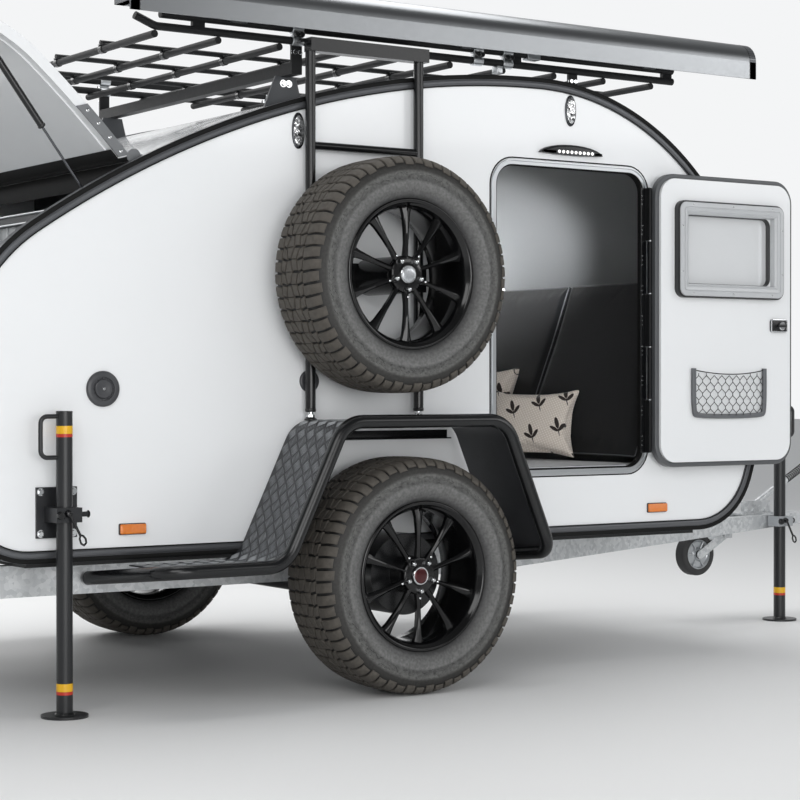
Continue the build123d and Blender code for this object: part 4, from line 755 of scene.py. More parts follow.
# %% Rim shapes
LIP = [(0.1115, 0.2290), (0.1150, 0.2318), (0.1178, 0.2340), (0.1193, 0.2372), (0.1197, 0.2410), (0.1188, 0.2440),
       (0.1165, 0.2460), (0.1140, 0.2462), (0.1122, 0.2440), (0.1118, 0.2330), (0.108, 0.2292)]
BARREL = LIP + [(-y, r) for y, r in LIP[::-1]]
BARREL += [(-0.106, 0.2230), (-0.05, 0.2165), (0.04, 0.2160), (0.088, 0.2160), (0.0935, 0.2190), (0.1050, 0.2222),
           (0.1080, 0.2245)]
HUB = [(0.062, 0.0), (0.062, 0.0600), (0.084, 0.0615), (0.0885, 0.0590), (0.0900, 0.0560), (0.0900, 0.0340),
       (0.0935, 0.0320), (0.0935, 0.0)]


def spoke():
    """One spoke towards +Z: rows along the radius, seven points over the section.

    Half width = 8 mm at the hub, 6.5 mm at the waist, 17 mm at the rim; the ridge stands 5 mm over the edges.
    """
    radius = np.linspace(0.052, 0.2185, 14)
    share = (radius - radius[0]) / np.ptp(radius)
    half = np.interp(share, [0, 0.25, 0.55, 0.85, 1], [0.0085, 0.0068, 0.0080, 0.0125, 0.0185])
    face = np.interp(share, [0, 0.2, 0.8, 1], [0.0900, 0.0905, 0.0935, 0.0925])
    deep = np.interp(share, [0, 0.3, 1], [0.024, 0.018, 0.024])
    across = np.array([-1, -1, -0.72, -0.16, 0.16, 0.72, 1, 1])
    drop = np.array([1, 0.30, 0.20, 0, 0, 0.20, 0.30, 1])
    x = across[None] * half[:, None]
    y = -(face[:, None] - drop[None] * deep[:, None])
    z = np.broadcast_to(radius[:, None], x.shape)
    return grid(np.stack([x, y, z], -1), close_columns=True, cap=True)


def round_axle(count, radius, start=0.0):
    """Matrices that put a shape drawn at the hub at count places round it, radius out."""
    out = []
    for k in range(count):
        a = (k + start) / count * 2 * math.pi
        matrix = np.eye(4)
        matrix[:3, :3] = [[math.cos(a), 0, math.sin(a)], [0, 1, 0], [-math.sin(a), 0, math.cos(a)]]
        matrix[:3, 3] = (radius * math.sin(a), 0, radius * math.cos(a))
        out.append(matrix)
    return out


nut = turned([(0.088, 0.0095), (0.101, 0.0095), (0.1035, 0.0080)], ORIGIN, count=6)
nut_dome = turned([(0.102, 0.0078), (0.106, 0.0068), (0.1085, 0.0042), (0.109, 0.001)], ORIGIN, count=14)
seat = turned([(0.0885, 0.0150), (0.0912, 0.0150), (0.0912, 0.0115), (0.0890, 0.0105)], ORIGIN, count=20)
cap_ring = turned([(0.092, 0.0300), (0.0975, 0.0295), (0.0990, 0.0280), (0.0990, 0.0255), (0.0975, 0.0245),
                   (0.092, 0.0245)], ORIGIN, close=True)
cap_disc = turned([(0.092, 0.0250), (0.0975, 0.0248), (0.0992, 0.0200), (0.1000, 0.0120), (0.1003, 0.001)],
                  ORIGIN, count=40)
rivet = turned([(0.0915, 0.0042), (0.0945, 0.0038), (0.0955, 0.0018)], ORIGIN, count=10)
valve = bar((0, -0.090, 0.2195), (0, -0.122, 0.2120), 0.0042, 12)
CAP_COLOURS = {"right": ("3A070B", "4E0C11"), "left": ("3A070B", "4E0C11"), "spare": ("A9ACAF", "BCBFC2")}
NUTS = round_axle(5, 0.050, 0.5)
cast = (turned(BARREL, ORIGIN, count=96, close=True), turned(HUB, ORIGIN, count=60),
        repeat(spoke(), round_axle(10, 0.0)), repeat(seat, NUTS))
metal = (repeat(merge(nut, nut_dome), NUTS), cap_ring, repeat(rivet, round_axle(5, 0.0735, 0.5)))

# %% Rims, nuts and caps on the three wheels
for side, (body, where) in WHEELS.items():
    rim = piece("rim_cast_" + side, merge(*cast), "wheel_black", body, sharp=42, places=where)
    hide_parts("rim_" + side)
    piece("rim_chrome_" + side, merge(*metal), "bright_steel", body, sharp=30, places=where)
    enamel = finish("cap_enamel_" + side, CAP_COLOURS[side], 0.25, metallic=0.6, cloud=20, grit=2, Coat_Weight=0.6)
    piece("rim_cap_" + side, cap_disc, enamel, body, "bright_steel", places=where)
    piece("rim_valve_" + side, valve, RUBBER_SEAL, body, "tyre_rubber", places=where)

# %% [markdown]
# ## Doors
#
# Each doorway is an aluminium ring with a rubber seal in it, and the leaf hangs on a long black
# hinge. The leaf's white inner panel is edged with rubber, and it carries the window surround, the
# latch and a net pocket. Everything is drawn once for the closed right leaf, and a matrix puts it
# on the open right leaf or, mirrored, on the closed left one.

# %% Places on the closed right door, in drawing millimetres
DOOR_MIDDLE = (864, 1249)
HINGE_LINE = (1212, -790)
LEAF_MIDDLE_X = 859
LEAF_FACE_Y = -768
PLUG_FACE_Y = -756
LEAF_BACK_Y = -794
WINDOW = (853, 1515)

mirror_left = np.diag([1.0, -1.0, 1.0, 1.0])
both_sides = [np.eye(4), mirror_left]
half_turn = np.diag([-1.0, -1.0, 1.0, 1.0])
half_turn[:3, 3] = 2 * at(HINGE_LINE[0], HINGE_LINE[1], 0)
LEAF_PLACES = {"right": ("door_right", [half_turn]), "left": ("door_left", [mirror_left])}
FRAME_PLACES = {"right": [np.eye(4)], "left": [mirror_left]}


def band(section, width, height, radius, middle, y, corner=10):
    """A closed section in mm, (inwards, towards -Y), carried round a standing rounded rectangle.

    The rectangle's points are x = middle + width part, z = middle + height part, at one y.
    """
    flat = rounded(width, height, radius, corner) / 1000
    base = at(middle[0], y, middle[1])
    path = np.stack([base[0] + flat[:, 0], np.full(len(flat), base[1]), base[2] + flat[:, 1]], -1)
    return carried(np.asarray(section, float) / 1000, path, up=(0, -1, 0), closed=True)


def inner_band(section, *where):
    """The same with the section turned over, since the leaf's inner face looks to +Y when closed."""
    return band([(inwards, -out) for inwards, out in section], *where)


def screws(places, facing, radius=4.0, proud=1.6):
    """Round screw heads with a small dimple: a turned profile copied to each place."""
    head = turned(np.array([(0, radius), (proud * 0.5, radius), (proud, radius * 0.75), (proud, radius * 0.35),
                            (proud * 0.4, radius * 0.3)]) / 1000, ORIGIN, (0, 0, 1), 12)
    return repeat(head, [placed(place, facing) for place in places])


def block(x0, x1, y0, y1, z0, z1, edge=0.8):
    """A block between two drawing corners in mm, its edges towards -Y eased by edge."""
    outline = rounded((x1 - x0) / 1000, (z1 - z0) / 1000, edge / 1000, 3)
    return plate(outline, (y1 - y0) / 1000, at((x0 + x1) / 2, y1, (z0 + z1) / 2), edge=edge / 1000)


# %% Seals, hinge strips and screws of the doorway
low_z, high_z = 759, 1739
for side, where in FRAME_PLACES.items():
    seal = band(circle(5.0, 10), 681 - 2, 1085 - 2, 72, DOOR_MIDDLE, -757)
    gasket = band([(-2.5, 0), (2, 0), (2, 2.2), (-2.5, 1.4)], 729, 1133, 99, DOOR_MIDDLE, PANEL_Y)
    jamb = band([(0, 0), (0, -24), (3, -24), (3, 0)], 681, 1085, 74, DOOR_MIDDLE, -756)
    step = band([(3, 0), (3, 2.4), (5.5, 2.8), (8, 2.4), (8, 0)], 721, 1125, 94, DOOR_MIDDLE, -764)
    sill = block(604, 1124, -755, -731, 709, 717, 2)
    piece("door_step_" + side, [step, sill], "light_alloy", places=where)
    piece("door_seal_" + side, [seal, gasket, jamb], RUBBER_SEAL, slot="tyre_rubber", sharp=50, places=where)
    strip = plate(rounded(0.0365, (high_z - low_z) / 1000, 0.001, 2), 0.0012, at(1207.75, -764, 1249), edge=0.0004)
    strip_places = [at(1197, -765.1, z + d) for z in np.linspace(low_z + 45, high_z - 45, 9) for d in (-16, 0, 16)]
    piece("door_hinge_strip_" + side, strip, "black_steel", places=where)
    piece("door_hinge_screws_" + side, screws(strip_places, (0, -1, 0), 3.2, 0.4), "bright_steel", places=where)

# %% Black sleeves on the hinge's five knuckles
knuckle = (high_z - low_z) / 5
hinge_x, hinge_y = HINGE_LINE
sleeve_radius = 0.0062
fixed = [merge(bar(at(hinge_x, hinge_y, z + 1), at(hinge_x, hinge_y, z + knuckle - 1), sleeve_radius, 14),
               block(hinge_x - 3.2, hinge_x + 3.2, hinge_y, -764, z + 1, z + knuckle - 1))
         for z in low_z + knuckle * np.array([0, 2, 4])]
moving = [merge(bar(at(hinge_x, hinge_y, z + 2), at(hinge_x, hinge_y, z + knuckle - 2), sleeve_radius, 14),
                block(hinge_x - 9.5, hinge_x, hinge_y - 3.2, hinge_y + 3.2, z + 2, z + knuckle - 2))
          for z in low_z + knuckle * np.array([1, 3])]
for side, (body, leaf_place) in LEAF_PLACES.items():
    piece("door_hinge_fixed_" + side, fixed, RACK_COAT, slot="black_steel", places=FRAME_PLACES[side])
    piece("door_hinge_moving_" + side, moving, RACK_COAT, body, "black_steel", places=leaf_place)

# %% Leaf edge, surround, latch and handle
SURROUND_GREY = finish("moulded_abs_light_grey", ("B4B6B8", "BEC0C2"), 0.32, cloud=80, grit=0.9, relief=0.02,
                       IOR=1.53)
POCKET_GREY = finish("moulded_abs_mid_grey", ("595B5E", "636568"), 0.42, cloud=60, grit=2.0, relief=0.03, IOR=1.53)
EDGE_GREY = finish("coextruded_edge_grey", ("4C4E50", "585A5C"), 0.45, cloud=120, grit=3, relief=0.02, IOR=1.53)
NET_CORD = finish("braided_cord_black", ("0D0E0F", "161719"), 0.75, cloud=8, grit=2.0, relief=0.1)
edge_section = [(-1.6, -2), (-1.6, -24), (-0.2, -26.6), (9, -26.6), (9, -25.8), (-0.4, -25.8), (-0.4, 0), (15.6, 0),
                (15.6, 1.6), (13, 2.4), (3, 2.4), (0, 1.6), (-1.6, 0.6)]
surround = [(0, 18), (0, 26), (2.5, 29), (17, 29), (18.2, 26.5), (21, 26.5), (22.2, 29), (33, 27.5), (34.2, 25),
            (36.5, 25), (37.5, 26.5), (43, 22), (45.5, 14), (45.5, 0), (4, 0), (4, 18)]
casing = [(-6, 0), (-6, 20), (-3, 24.5), (1, 24.5), (5, 20), (5, 0)]
outer_frame = [(0, 0), (1, -7), (6, -10), (38, -10), (45.5, -6), (45.5, 0)]
rubber = inner_band(edge_section, 690, 1084, 86, (LEAF_MIDDLE_X, 1249), LEAF_FACE_Y, 14)
grey = inner_band(surround, 526, 348, 30, WINDOW, PLUG_FACE_Y)
black = [inner_band(casing, 526, 348, 30, WINDOW, PLUG_FACE_Y),
         inner_band(outer_frame, 526, 348, 30, WINDOW, LEAF_BACK_Y),
         band([(0, 0), (0, 36), (3.5, 36), (3.5, 0)], 437, 259, 30, WINDOW, LEAF_FACE_Y + 10)]
walk = [(x, z) for z in (164, -164) for x in (-200, 0, 200)] + [(x, z) for x in (-253, 253) for z in (85, -85)]
screw_places = [at(WINDOW[0] + x, PLUG_FACE_Y + 28.8, WINDOW[1] + z) for x, z in walk]
latch_x, latch_z = 595, 1237
back = plate(rounded(0.084, 0.050, 0.008), 0.008, at(latch_x, PLUG_FACE_Y, latch_z), (0, 1, 0), 0.002)
knob = turned([(0.007, 0.017), (0.013, 0.0165), (0.0145, 0.0145), (0.0145, 0.004)],
              at(latch_x - 12, PLUG_FACE_Y, latch_z), (0, 1, 0), 28)
grip = plate(rounded(0.044, 0.012, 0.005), 0.022, at(latch_x - 8, PLUG_FACE_Y, latch_z), (0, 1, 0), 0.003)
handle = plate(rounded(0.110, 0.046, 0.012), 0.007, at(latch_x + 4, LEAF_BACK_Y, latch_z), edge=0.003)
lever = plate(rounded(0.080, 0.018, 0.008), 0.0155, at(latch_x + 6, LEAF_BACK_Y, latch_z), edge=0.004)
trim_ring = band([(0, 0), (0, 9.5), (1, 10), (4.5, 9.5), (4.5, 0)], 84, 50, 8, (latch_x, latch_z), PLUG_FACE_Y, 5)
trim_ring = (trim_ring[0] * (1, -1, 1) + (0, 2 * PLUG_FACE_Y / 1000, 0), trim_ring[1])
for side, (body, where) in LEAF_PLACES.items():
    piece("door_edge_rubber_" + side, rubber, EDGE_GREY, body, "tyre_rubber", sharp=40, places=where)
    fittings = piece("window_surround_" + side, grey, SURROUND_GREY, body, "door_fitting", sharp=25, places=where)
    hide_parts("door_fittings_" + side)
    piece("window_casing_" + side, black, "fittings_black", body, sharp=30, places=where)
    piece("window_screws_" + side, screws(screw_places, (0, 1, 0), 3.4, 1.2), "bright_steel", body, places=where)
    piece("door_latch_" + side, [back, grip, handle, lever], "fittings_black", body, places=where)
    piece("door_latch_chrome_" + side, [trim_ring, knob], "bright_steel", body, places=where)

# %% [markdown]
# The pocket is a grey plastic U with a knotted net across it. The net is drawn as rods from knot to
# knot of a honeycomb. Its top edge is one elastic cord that sags a little between the ends.

# %% Net pockets
pocket_x, pocket_z, pocket_w, pocket_h = 853, 978, 378, 189
x0, x1 = pocket_x - pocket_w / 2, pocket_x + pocket_w / 2
z0, z1 = pocket_z - pocket_h / 2, pocket_z + pocket_h / 2
cell, cell_height, cord = 37.0, 25.0, 0.0017
NET_Y = PLUG_FACE_Y + 8


def sag(x):
    """Height of the net's top edge at x: a shallow parabola, 16 mm lower at the middle than at the ends."""
    return z1 - 6 - 16 * (1 - (2 * (x - pocket_x) / (pocket_w - 20)) ** 2)


def bulge(x):
    """How far the net stands off its plane at x: half a cosine wave, 8 mm at the middle."""
    return 8 * np.cos((x - pocket_x) / pocket_w * np.pi)


row, column = np.meshgrid(np.arange(-1, 9), np.arange(-1, 12), indexing="ij")
knot_x = x0 + 14 + column * cell + (row % 2) * cell / 2
knot_z = z0 + 12 + row * cell_height
centre = np.stack([knot_x, knot_z], -1).reshape(-1, 2)
reaches = ((0, 9), (-cell / 2, -16), (cell / 2, -16))
links = np.concatenate([np.stack([centre, centre + reach], 1) for reach in reaches])
x, z = links[..., 0], links[..., 1]
links = links[((np.abs(x - pocket_x) < pocket_w / 2 - 10) & (z > z0 + 8) & (z < sag(x))).all(1)]
ends = at(links[..., 0], NET_Y + bulge(links[..., 0]), links[..., 1])
run = ends[:, 1] - ends[:, 0]
along = run / np.linalg.norm(run, axis=1)[:, None]
across = np.cross(along, (0, 1, 0))
corners = [across * math.cos(a) * cord + np.array([0, math.sin(a) * cord, 0]) for a in (0.5, 2.6, 4.7)]
points = np.stack([ends[:, e] + c for e in (0, 1) for c in corners], 1).reshape(-1, 3)
rod_faces = [[0, 1, 4, 3], [1, 2, 5, 4], [2, 0, 3, 5], [2, 1, 0], [3, 4, 5]]
edge_x = np.linspace(x0 + 8, x1 - 8, 25)
edge_path = at(edge_x, NET_Y + bulge(edge_x), sag(edge_x))
net = [(points, numbered(rod_faces, 6, len(ends))), carried(circle(0.0018, 8), edge_path, up=(0, 1, 0))]
u_line = ((x0 + 9, z1), (x0 + 9, z0 + 26), (x0 + 26, z0 + 9), (x1 - 26, z0 + 9), (x1 - 9, z0 + 26), (x1 - 9, z1))
u_path = smooth([at(x, PLUG_FACE_Y + 7, z) for x, z in u_line], 3)
u_frame = carried(rounded(0.018, 0.014, 0.004, 4), u_path, up=(0, 1, 0))
for side, (body, where) in LEAF_PLACES.items():
    piece("pocket_net_" + side, net, NET_CORD, body, "fittings_black", places=where)
    piece("pocket_frame_" + side, u_frame, POCKET_GREY, body, "door_fitting", places=where)

# %% [markdown]
# ## Caps and lamps
#
# The screw caps are turned. The oval lamps are a dark chromed bezel and a lens whose
# inside is pressed into facets; their sparkle is painted reflection, light and dark patches in the
# lens colour. Markers are an amber lens on a black foot, and the porch lamp is a black hood over a row of light diodes.

# %% Lens facets and cap plastic
CAP_PLASTIC = finish("moulded_asa_charcoal", ("36373A", "3F4043"), 0.36, cloud=40, grit=2.0, relief=0.03, IOR=1.53,
                     edge=0.6)
FACETS = finish("faceted_reflector_lens", ("C9CCCE", "D8DADB"), 0.08, metallic=0.85, cloud=20, grit=5, relief=0.2,
                Coat_Weight=1.0)
tree, shader, place, bump = parts_of(FACETS)
# The light and dark facet patches in the base colour are painted reflection; the bump gives the real facets.
chips = node(tree, "ShaderNodeTexVoronoi", {"Vector": place, "Scale": 1000 / 9})
chip = node(tree, "ShaderNodeSeparateColor", {"Color": chips.outputs["Color"]})
painted_sparkle = node(tree, "ShaderNodeValToRGB", {"Fac": chip.outputs["Red"]})
ramp = painted_sparkle.color_ramp.elements
ramp[0].position, ramp[0].color = 0.15, linear("3A3B3D")
ramp[1].position, ramp[1].color = 0.6, linear("F2F3F4")
fill(tree, shader, {"Base Color": painted_sparkle.outputs["Color"]})
fill(tree, bump, {"Height": chips.outputs["Distance"], "Distance": 0.002})
DARK_CHROME = finish("dark_chrome_bezel", ("4A4B4E", "56585B"), 0.15, metallic=1.0, cloud=50, grit=4, relief=0.01,
                     spread=0.02)
DIODE = finish("diode_window", ("F3F4F2", "FAFAF8"), 0.15, cloud=10, grit=3, relief=0.02, Coat_Weight=1.0,
               Emission_Color=linear("FFFDF6"), Emission_Strength=0.8)


# %% Filler cap, small cap and porch lamp


def cap(x, z, radius, depth):
    """Rim, groove and lid of a screw cap, scaled from its radius and depth, with twelve grip notches."""
    profile = np.array([(0, 1), (0.4, 1), (0.66, 0.965), (0.80, 0.90), (0.82, 0.74), (0.78, 0.66), (0.42, 0.64),
                        (0.42, 0.56), (0.84, 0.53), (0.95, 0.49), (0.98, 0.30), (0.86, 0.20), (0.86, 0.12),
                        (0.98, 0.09), (1.0, 0.0)]) * (depth, radius) / 1000
    middle = at(x, PANEL_Y, z)
    out = (0, -depth * 0.00055, 0)
    rays = [np.array([math.cos(a), 0, math.sin(a)]) * radius for a in np.arange(12) / 12 * 2 * np.pi]
    grips = [bar(middle + ray * 0.00056 + out, middle + ray * 0.00066 + out, 0.0022, 8) for ray in rays]
    return merge(turned(profile, middle, count=64), *grips)


caps = piece("filler_caps", [cap(-998, 998, 56, 14), cap(-246, 1023, 37, 9)], CAP_PLASTIC, slot="fittings_black",
             sharp=28)
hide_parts("side_fittings")
stud = turned([(0.0132, 0.0055), (0.0140, 0.0045), (0.0142, 0.001)], at(-998, PANEL_Y, 998), count=20)
piece("filler_cap_studs", stud, "bright_steel")
reach = np.linspace(-1, 1, 41)
hood_top = np.stack([reach * 143, -14 + 33 * (1 - np.abs(reach) ** 2.2) ** 0.62], -1)
hood_low = np.stack([reach[::-1][1:-1] * 143, -19 + 5 * reach[::-1][1:-1] ** 2], -1)
hood = np.vstack([hood_top, hood_low])[::-1] / 1000
piece("porch_lamp_hood", plate(hood, 0.021, at(856, PANEL_Y, 1855), edge=0.009), "fittings_black")
lens = plate(rounded(0.176, 0.017, 0.004), 0.0225, at(868, PANEL_Y, 1846.5), edge=0.002)
domes = [turned([(0.0215, 0.0066), (0.0240, 0.0058), (0.0262, 0.0038), (0.0268, 0.001)],
                at(868 + d, PANEL_Y, 1846.5), count=16) for d in np.linspace(-76, 76, 9)]
piece("porch_lamp_lens", lens, CAP_PLASTIC, slot="lamp_clear")
piece("porch_lamp_diodes", domes, DIODE, slot="lamp_clear")

# %% Oval lamps and markers on both sides
turn_points = np.linspace(0, 2 * np.pi, 40, endpoint=False)
wave = np.sin(turn_points)
ovals, lenses, feet, ambers = [], [], [], []
for x, z, w, h in ((-288, 1848, 48, 120), (859, 1998, 48, 112)):
    egg = np.stack([np.cos(turn_points) * w / 2, np.sign(wave) * np.abs(wave) ** 0.9 * h / 2], -1) / 1000
    ovals.append(plate(egg, 0.0062, at(x, PANEL_Y, z), edge=0.0035))
    lenses.append(plate(egg * 0.84, 0.0090, at(x, PANEL_Y, z), edge=0.004))
for x, z in ((-896, 559), (1271, 554)):
    feet.append(plate(rounded(0.095, 0.036, 0.005), 0.0045, at(x, PANEL_Y, z), edge=0.002))
    ambers.append(plate(rounded(0.089, 0.031, 0.005), 0.0135, at(x, PANEL_Y, z), edge=0.004))
bezels = piece("oval_lamp_bezels", ovals, DARK_CHROME, slot="bright_steel", places=both_sides)
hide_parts("lamps")
piece("oval_lamp_lenses", lenses, FACETS, slot="lamp_clear", places=both_sides)
piece("marker_feet", feet, "fittings_black", places=both_sides)
tree, shader, place, bump = parts_of(AMBER_LENS)
ribs = node(tree, "ShaderNodeTexWave", {"Vector": place, "Scale": 314 / 5}, bands_direction="X")
fill(tree, bump, {"Height": ribs.outputs["Fac"], "Distance": 0.0012})
piece("marker_lenses", ambers, AMBER_LENS, slot="lamp_clear", places=both_sides)

# %% Rear lamps, bent over the tail's lower corner


def tail_lamp(y_low, y_high, rise):
    """A lens on the corner arc: point = arc centre + (radius + height) * (cos a, sin a), height 0 at its border."""
    a = np.linspace(math.asin((579 - REAR_Z) / REAR_R), math.asin((671 - REAR_Z) / REAR_R), 13)
    y = np.linspace(y_low, y_high, 13)
    lift = np.array([0, 0.8, 1, 1, 1, 1, 1, 1, 1, 1, 1, 0.8, 0]) * rise
    a, y, height = a[:, None] + 0 * y, y[None] + 0 * a[:, None], np.minimum(lift[:, None], lift[None])
    radius = REAR_R + height
    points = np.stack([REAR_X + AXLE_X * 1000 - radius * np.cos(a), y, REAR_Z + radius * np.sin(a)], -1)
    return merge(grid(points / 1000), grid((points + (3, 0, 0)) / 1000))


lamp_y = (-560, 560)
piece("rear_lamp_base", [tail_lamp(y - 110, y + 110, 9) for y in lamp_y], "fittings_black")
piece("rear_lamp_red", [tail_lamp(y - 62, y + 62, 13.5) for y in lamp_y], RED_LENS, slot="lamp_clear")
ambers = [tail_lamp(y + k * 65, y + k * 65 + k * 40, 13.0) for y in lamp_y for k in (-1, 1)]
piece("rear_lamp_amber", ambers, AMBER_LENS, slot="lamp_clear")

# %% [markdown]
# ## Edge moulding
#
# The aluminium edge profile has a groove along its outer half that takes a black rubber insert and
# hides the screws, a rounded bead beside it, and a thin rubber lip on the panel. All three follow
# the body's outline, so their paths are made of the same tangent arcs as the body: floor, front
# corner, nose, roof, tail, and rear corner.

# %% The outline as points


def outline(inset):
    """Points round the body's side view, moved inwards by inset, each arc = centre + radius * (cos a, sin a)."""
    step = 30.0
    nose_r, front_r, tail_r, front_z, tail_x = 1079, 278, 580, 746, -915
    nose = np.array([ROOF_X, ROOF_TOP - nose_r])
    roof = np.array([ROOF_X, ROOF_TOP - ROOF_R])
    tail = np.array([tail_x, roof[1] + math.sqrt((ROOF_R - tail_r) ** 2 - (ROOF_X - tail_x) ** 2)])
    front = np.array([ROOF_X + math.sqrt((nose_r - front_r) ** 2 - (nose[1] - front_z) ** 2), front_z])
    rear = np.array([REAR_X, REAR_Z])
    join = math.atan2(*(front - nose)[::-1])
    back = math.atan2(*(tail - roof)[::-1])
    runs = [(front, front_r, -math.pi / 2, join), (nose, nose_r, join, math.pi / 2),
            (roof, ROOF_R, math.pi / 2, back), (tail, tail_r, back, math.pi), (rear, REAR_R, math.pi, 1.5 * math.pi)]
    points = [np.stack([np.linspace(rear[0], front[0], 60), np.full(60, 468 + inset)], -1)[:-1]]
    for centre, radius, a0, a1 in runs:
        a = np.linspace(a0, a1, max(4, int(abs(a1 - a0) * radius / step)))[:, None]
        points.append(centre + (radius - inset) * np.hstack([np.cos(a), np.sin(a)]))
    points = np.vstack(points)
    keep = np.linalg.norm(points - np.roll(points, 1, 0), axis=1) > 1
    return points[keep]


def round_body(section, inset):
    """A section in mm, (inwards, outwards), carried round the body on the moulding's face."""
    line = outline(inset)
    return carried(np.array(section) / 1000, at(line[:, 0], -766, line[:, 1]), up=(0, -1, 0), closed=True)


insert = round_body([(-7.5, 0), (-7.5, 1.2), (-5.5, 2.6), (5.5, 2.6), (7.5, 1.2), (7.5, 0)], 4)
piece("moulding_insert", insert, RUBBER_SEAL, slot="tyre_rubber", places=both_sides)
bead = round_body([(-9.5, 0), (-8.5, 1.3), (-5, 2.6), (0, 3.1), (5, 2.6), (8.5, 1.3), (9.5, 0)], 22)
piece("moulding_bead", bead, "edge_moulding", sharp=60, places=both_sides)
lip = round_body([(-2, 0), (-2, 0.9), (2, 0.9), (2, 0)], 34)
piece("moulding_lip", lip, RUBBER_SEAL, slot="edge_moulding", places=both_sides)

# %% [markdown]
# ## Fenders
#
# Chequer plate comes from the mill with raised bars rolled into it: six short parallel bars,
# then six at right angles, over and over. Each bar here is a six-point roof laid on the fender's
# line, which is unrolled to a tape first, so the bars follow its bends.

# %% The fender's line as a tape


def filleted(corners, bend):
    """Straight runs joined by arcs of radius bend, as points about 12 mm apart."""
    step = 12.0
    corners = np.asarray(corners, float)
    points = [corners[0]]
    for before, corner, after in zip(corners[:-2], corners[1:-1], corners[2:]):
        u, v = before - corner, after - corner
        u, v = u / np.linalg.norm(u), v / np.linalg.norm(v)
        half = math.acos(u @ v) / 2
        middle = corner + (u + v) / np.linalg.norm(u + v) * bend / math.sin(half)
        start, end = corner + u * bend / math.tan(half), corner + v * bend / math.tan(half)
        a, b = start - middle, end - middle
        sweep = math.acos(a @ b / bend ** 2)
        t = np.linspace(0, 1, max(3, int(sweep * bend / step) + 1))[:, None]
        points.append(middle + (np.sin((1 - t) * sweep) * a + np.sin(t * sweep) * b) / math.sin(sweep))
    points = np.vstack([*points, corners[-1:]])
    return points[np.linalg.norm(points - np.roll(points, 1, 0), axis=1) > 0.5]


FENDER = filleted([(-910, 445), (-526, 445), (-308, 893), (328, 893), (518, 445)], 105)
RUN = np.concatenate([[0], np.cumsum(np.linalg.norm(np.diff(FENDER, axis=0), axis=1))])
way = np.gradient(FENDER, RUN, axis=0)
RISE = np.stack([-way[:, 1], way[:, 0]], -1) / np.linalg.norm(way, axis=1)[:, None]


def on_fender(s, y, height):
    """Frame place at distance s along the fender's line, drawing y, and height in mm over the line."""
    line_x, line_z = (np.interp(s, RUN, FENDER[:, k]) for k in (0, 1))
    rise_x, rise_z = (np.interp(s, RUN, RISE[:, k]) for k in (0, 1))
    return at(line_x + height * rise_x, y, line_z + height * rise_z)


# %% Six-bar groups
# Groups stand on a lattice of diamonds, and every second row across has its bars turned.
pitch, bar_half, bar_half_width, bar_gap = 40.0, 17.6, 1.6, 6.1
row, column = np.meshgrid(np.arange(1, int(RUN[-1] / pitch * 1.414)), np.arange(-2, 12), indexing="ij")
s_middle = row * pitch * 0.7071
y_middle = -1046 + (column + (row % 2) / 2) * pitch * 1.4142
keep = (y_middle < -784) & (y_middle > -1064) & (s_middle < RUN[-1] - 16)
s_middle, y_middle, row = s_middle[keep], y_middle[keep], row[keep]
angle = np.where(row % 2 == 0, math.pi / 4, -math.pi / 4)[..., None]
offset = (np.arange(6) - 2.5) * bar_gap
centre_s = s_middle[..., None] - offset * np.sin(angle)
centre_y = y_middle[..., None] + offset * np.cos(angle)
corners = []
for along_by, across_by, height in ((1, 0, 1.9), (0, 1, 1.9), (-1, 0, 1.9), (0, -1, 1.9), (0.7, 0, 3.5),
                                    (-0.7, 0, 3.5)):
    s_point = centre_s + along_by * bar_half * np.cos(angle) - across_by * bar_half_width * np.sin(angle)
    y_point = centre_y + along_by * bar_half * np.sin(angle) + across_by * bar_half_width * np.cos(angle)
    corners.append(on_fender(s_point.ravel(), y_point.ravel(), height))
points = np.stack(corners, 1).reshape(-1, 3)
bars = (points, numbered(ROOF_FACES, 6, len(points) // 6))
# The bars' pale grey is a painted highlight.
piece("chequer_bars", bars, CHEQUER_BARS_PAINTED_HIGHLIGHT, slot="chequer_plate", sharp=60, places=both_sides)

# %% A black angle on the body under the fender: painted shade, a dark strip where the fender plate's shadow falls
angles = [block(-292, 312, -790, -760.5, 826, 830, 1), block(-292, 312, -764.5, -760.5, 830, 856, 1)]
piece("fender_shade_angles", angles, "black_steel", places=both_sides)

# %% Ladder feet on the fender's top
feet, studs = [], []
for x in (-257, 175):
    foot = at(x, -788, 895)
    for profile in ([(0, 0.021), (0.003, 0.021), (0.005, 0.018), (0.009, 0.014), (0.011, 0.011)],
                    [(0.0265, 0.0165), (0.030, 0.0185), (0.036, 0.0185), (0.038, 0.0172)]):
        feet.append(turned(profile, foot, (0, 0, 1), 28))
    studs.append(turned([(0.009, 0.0135), (0.017, 0.0135), (0.018, 0.012)], foot, (0, 0, 1), 6))
    studs.append(turned([(0.017, 0.0098), (0.027, 0.0098)], foot, (0, 0, 1), 20))
piece("ladder_feet", feet, "fittings_black")
piece("ladder_studs", studs, "bright_steel")

# %% [markdown]
# ## Rack and awning
#
# The rack is bolted together: silver clamps with hand knobs on the side rails, saddle clamps where
# the cross tubes meet the long ones, and bolts through the gusset feet. The awning case is an
# anodised extrusion, a mirror that is just rough enough to smear what it sees, with moulded ends.

# %% Awning case, its end caps and its seams
AWNING_SKIN = finish("dark_anodised_extrusion", ("8F9194", "979A9C"), 0.30, metallic=1.0, cloud=300, grit=9,
                     relief=0.01, spread=0.02)
NODES["awning_case"].material_slots[0].material = AWNING_SKIN


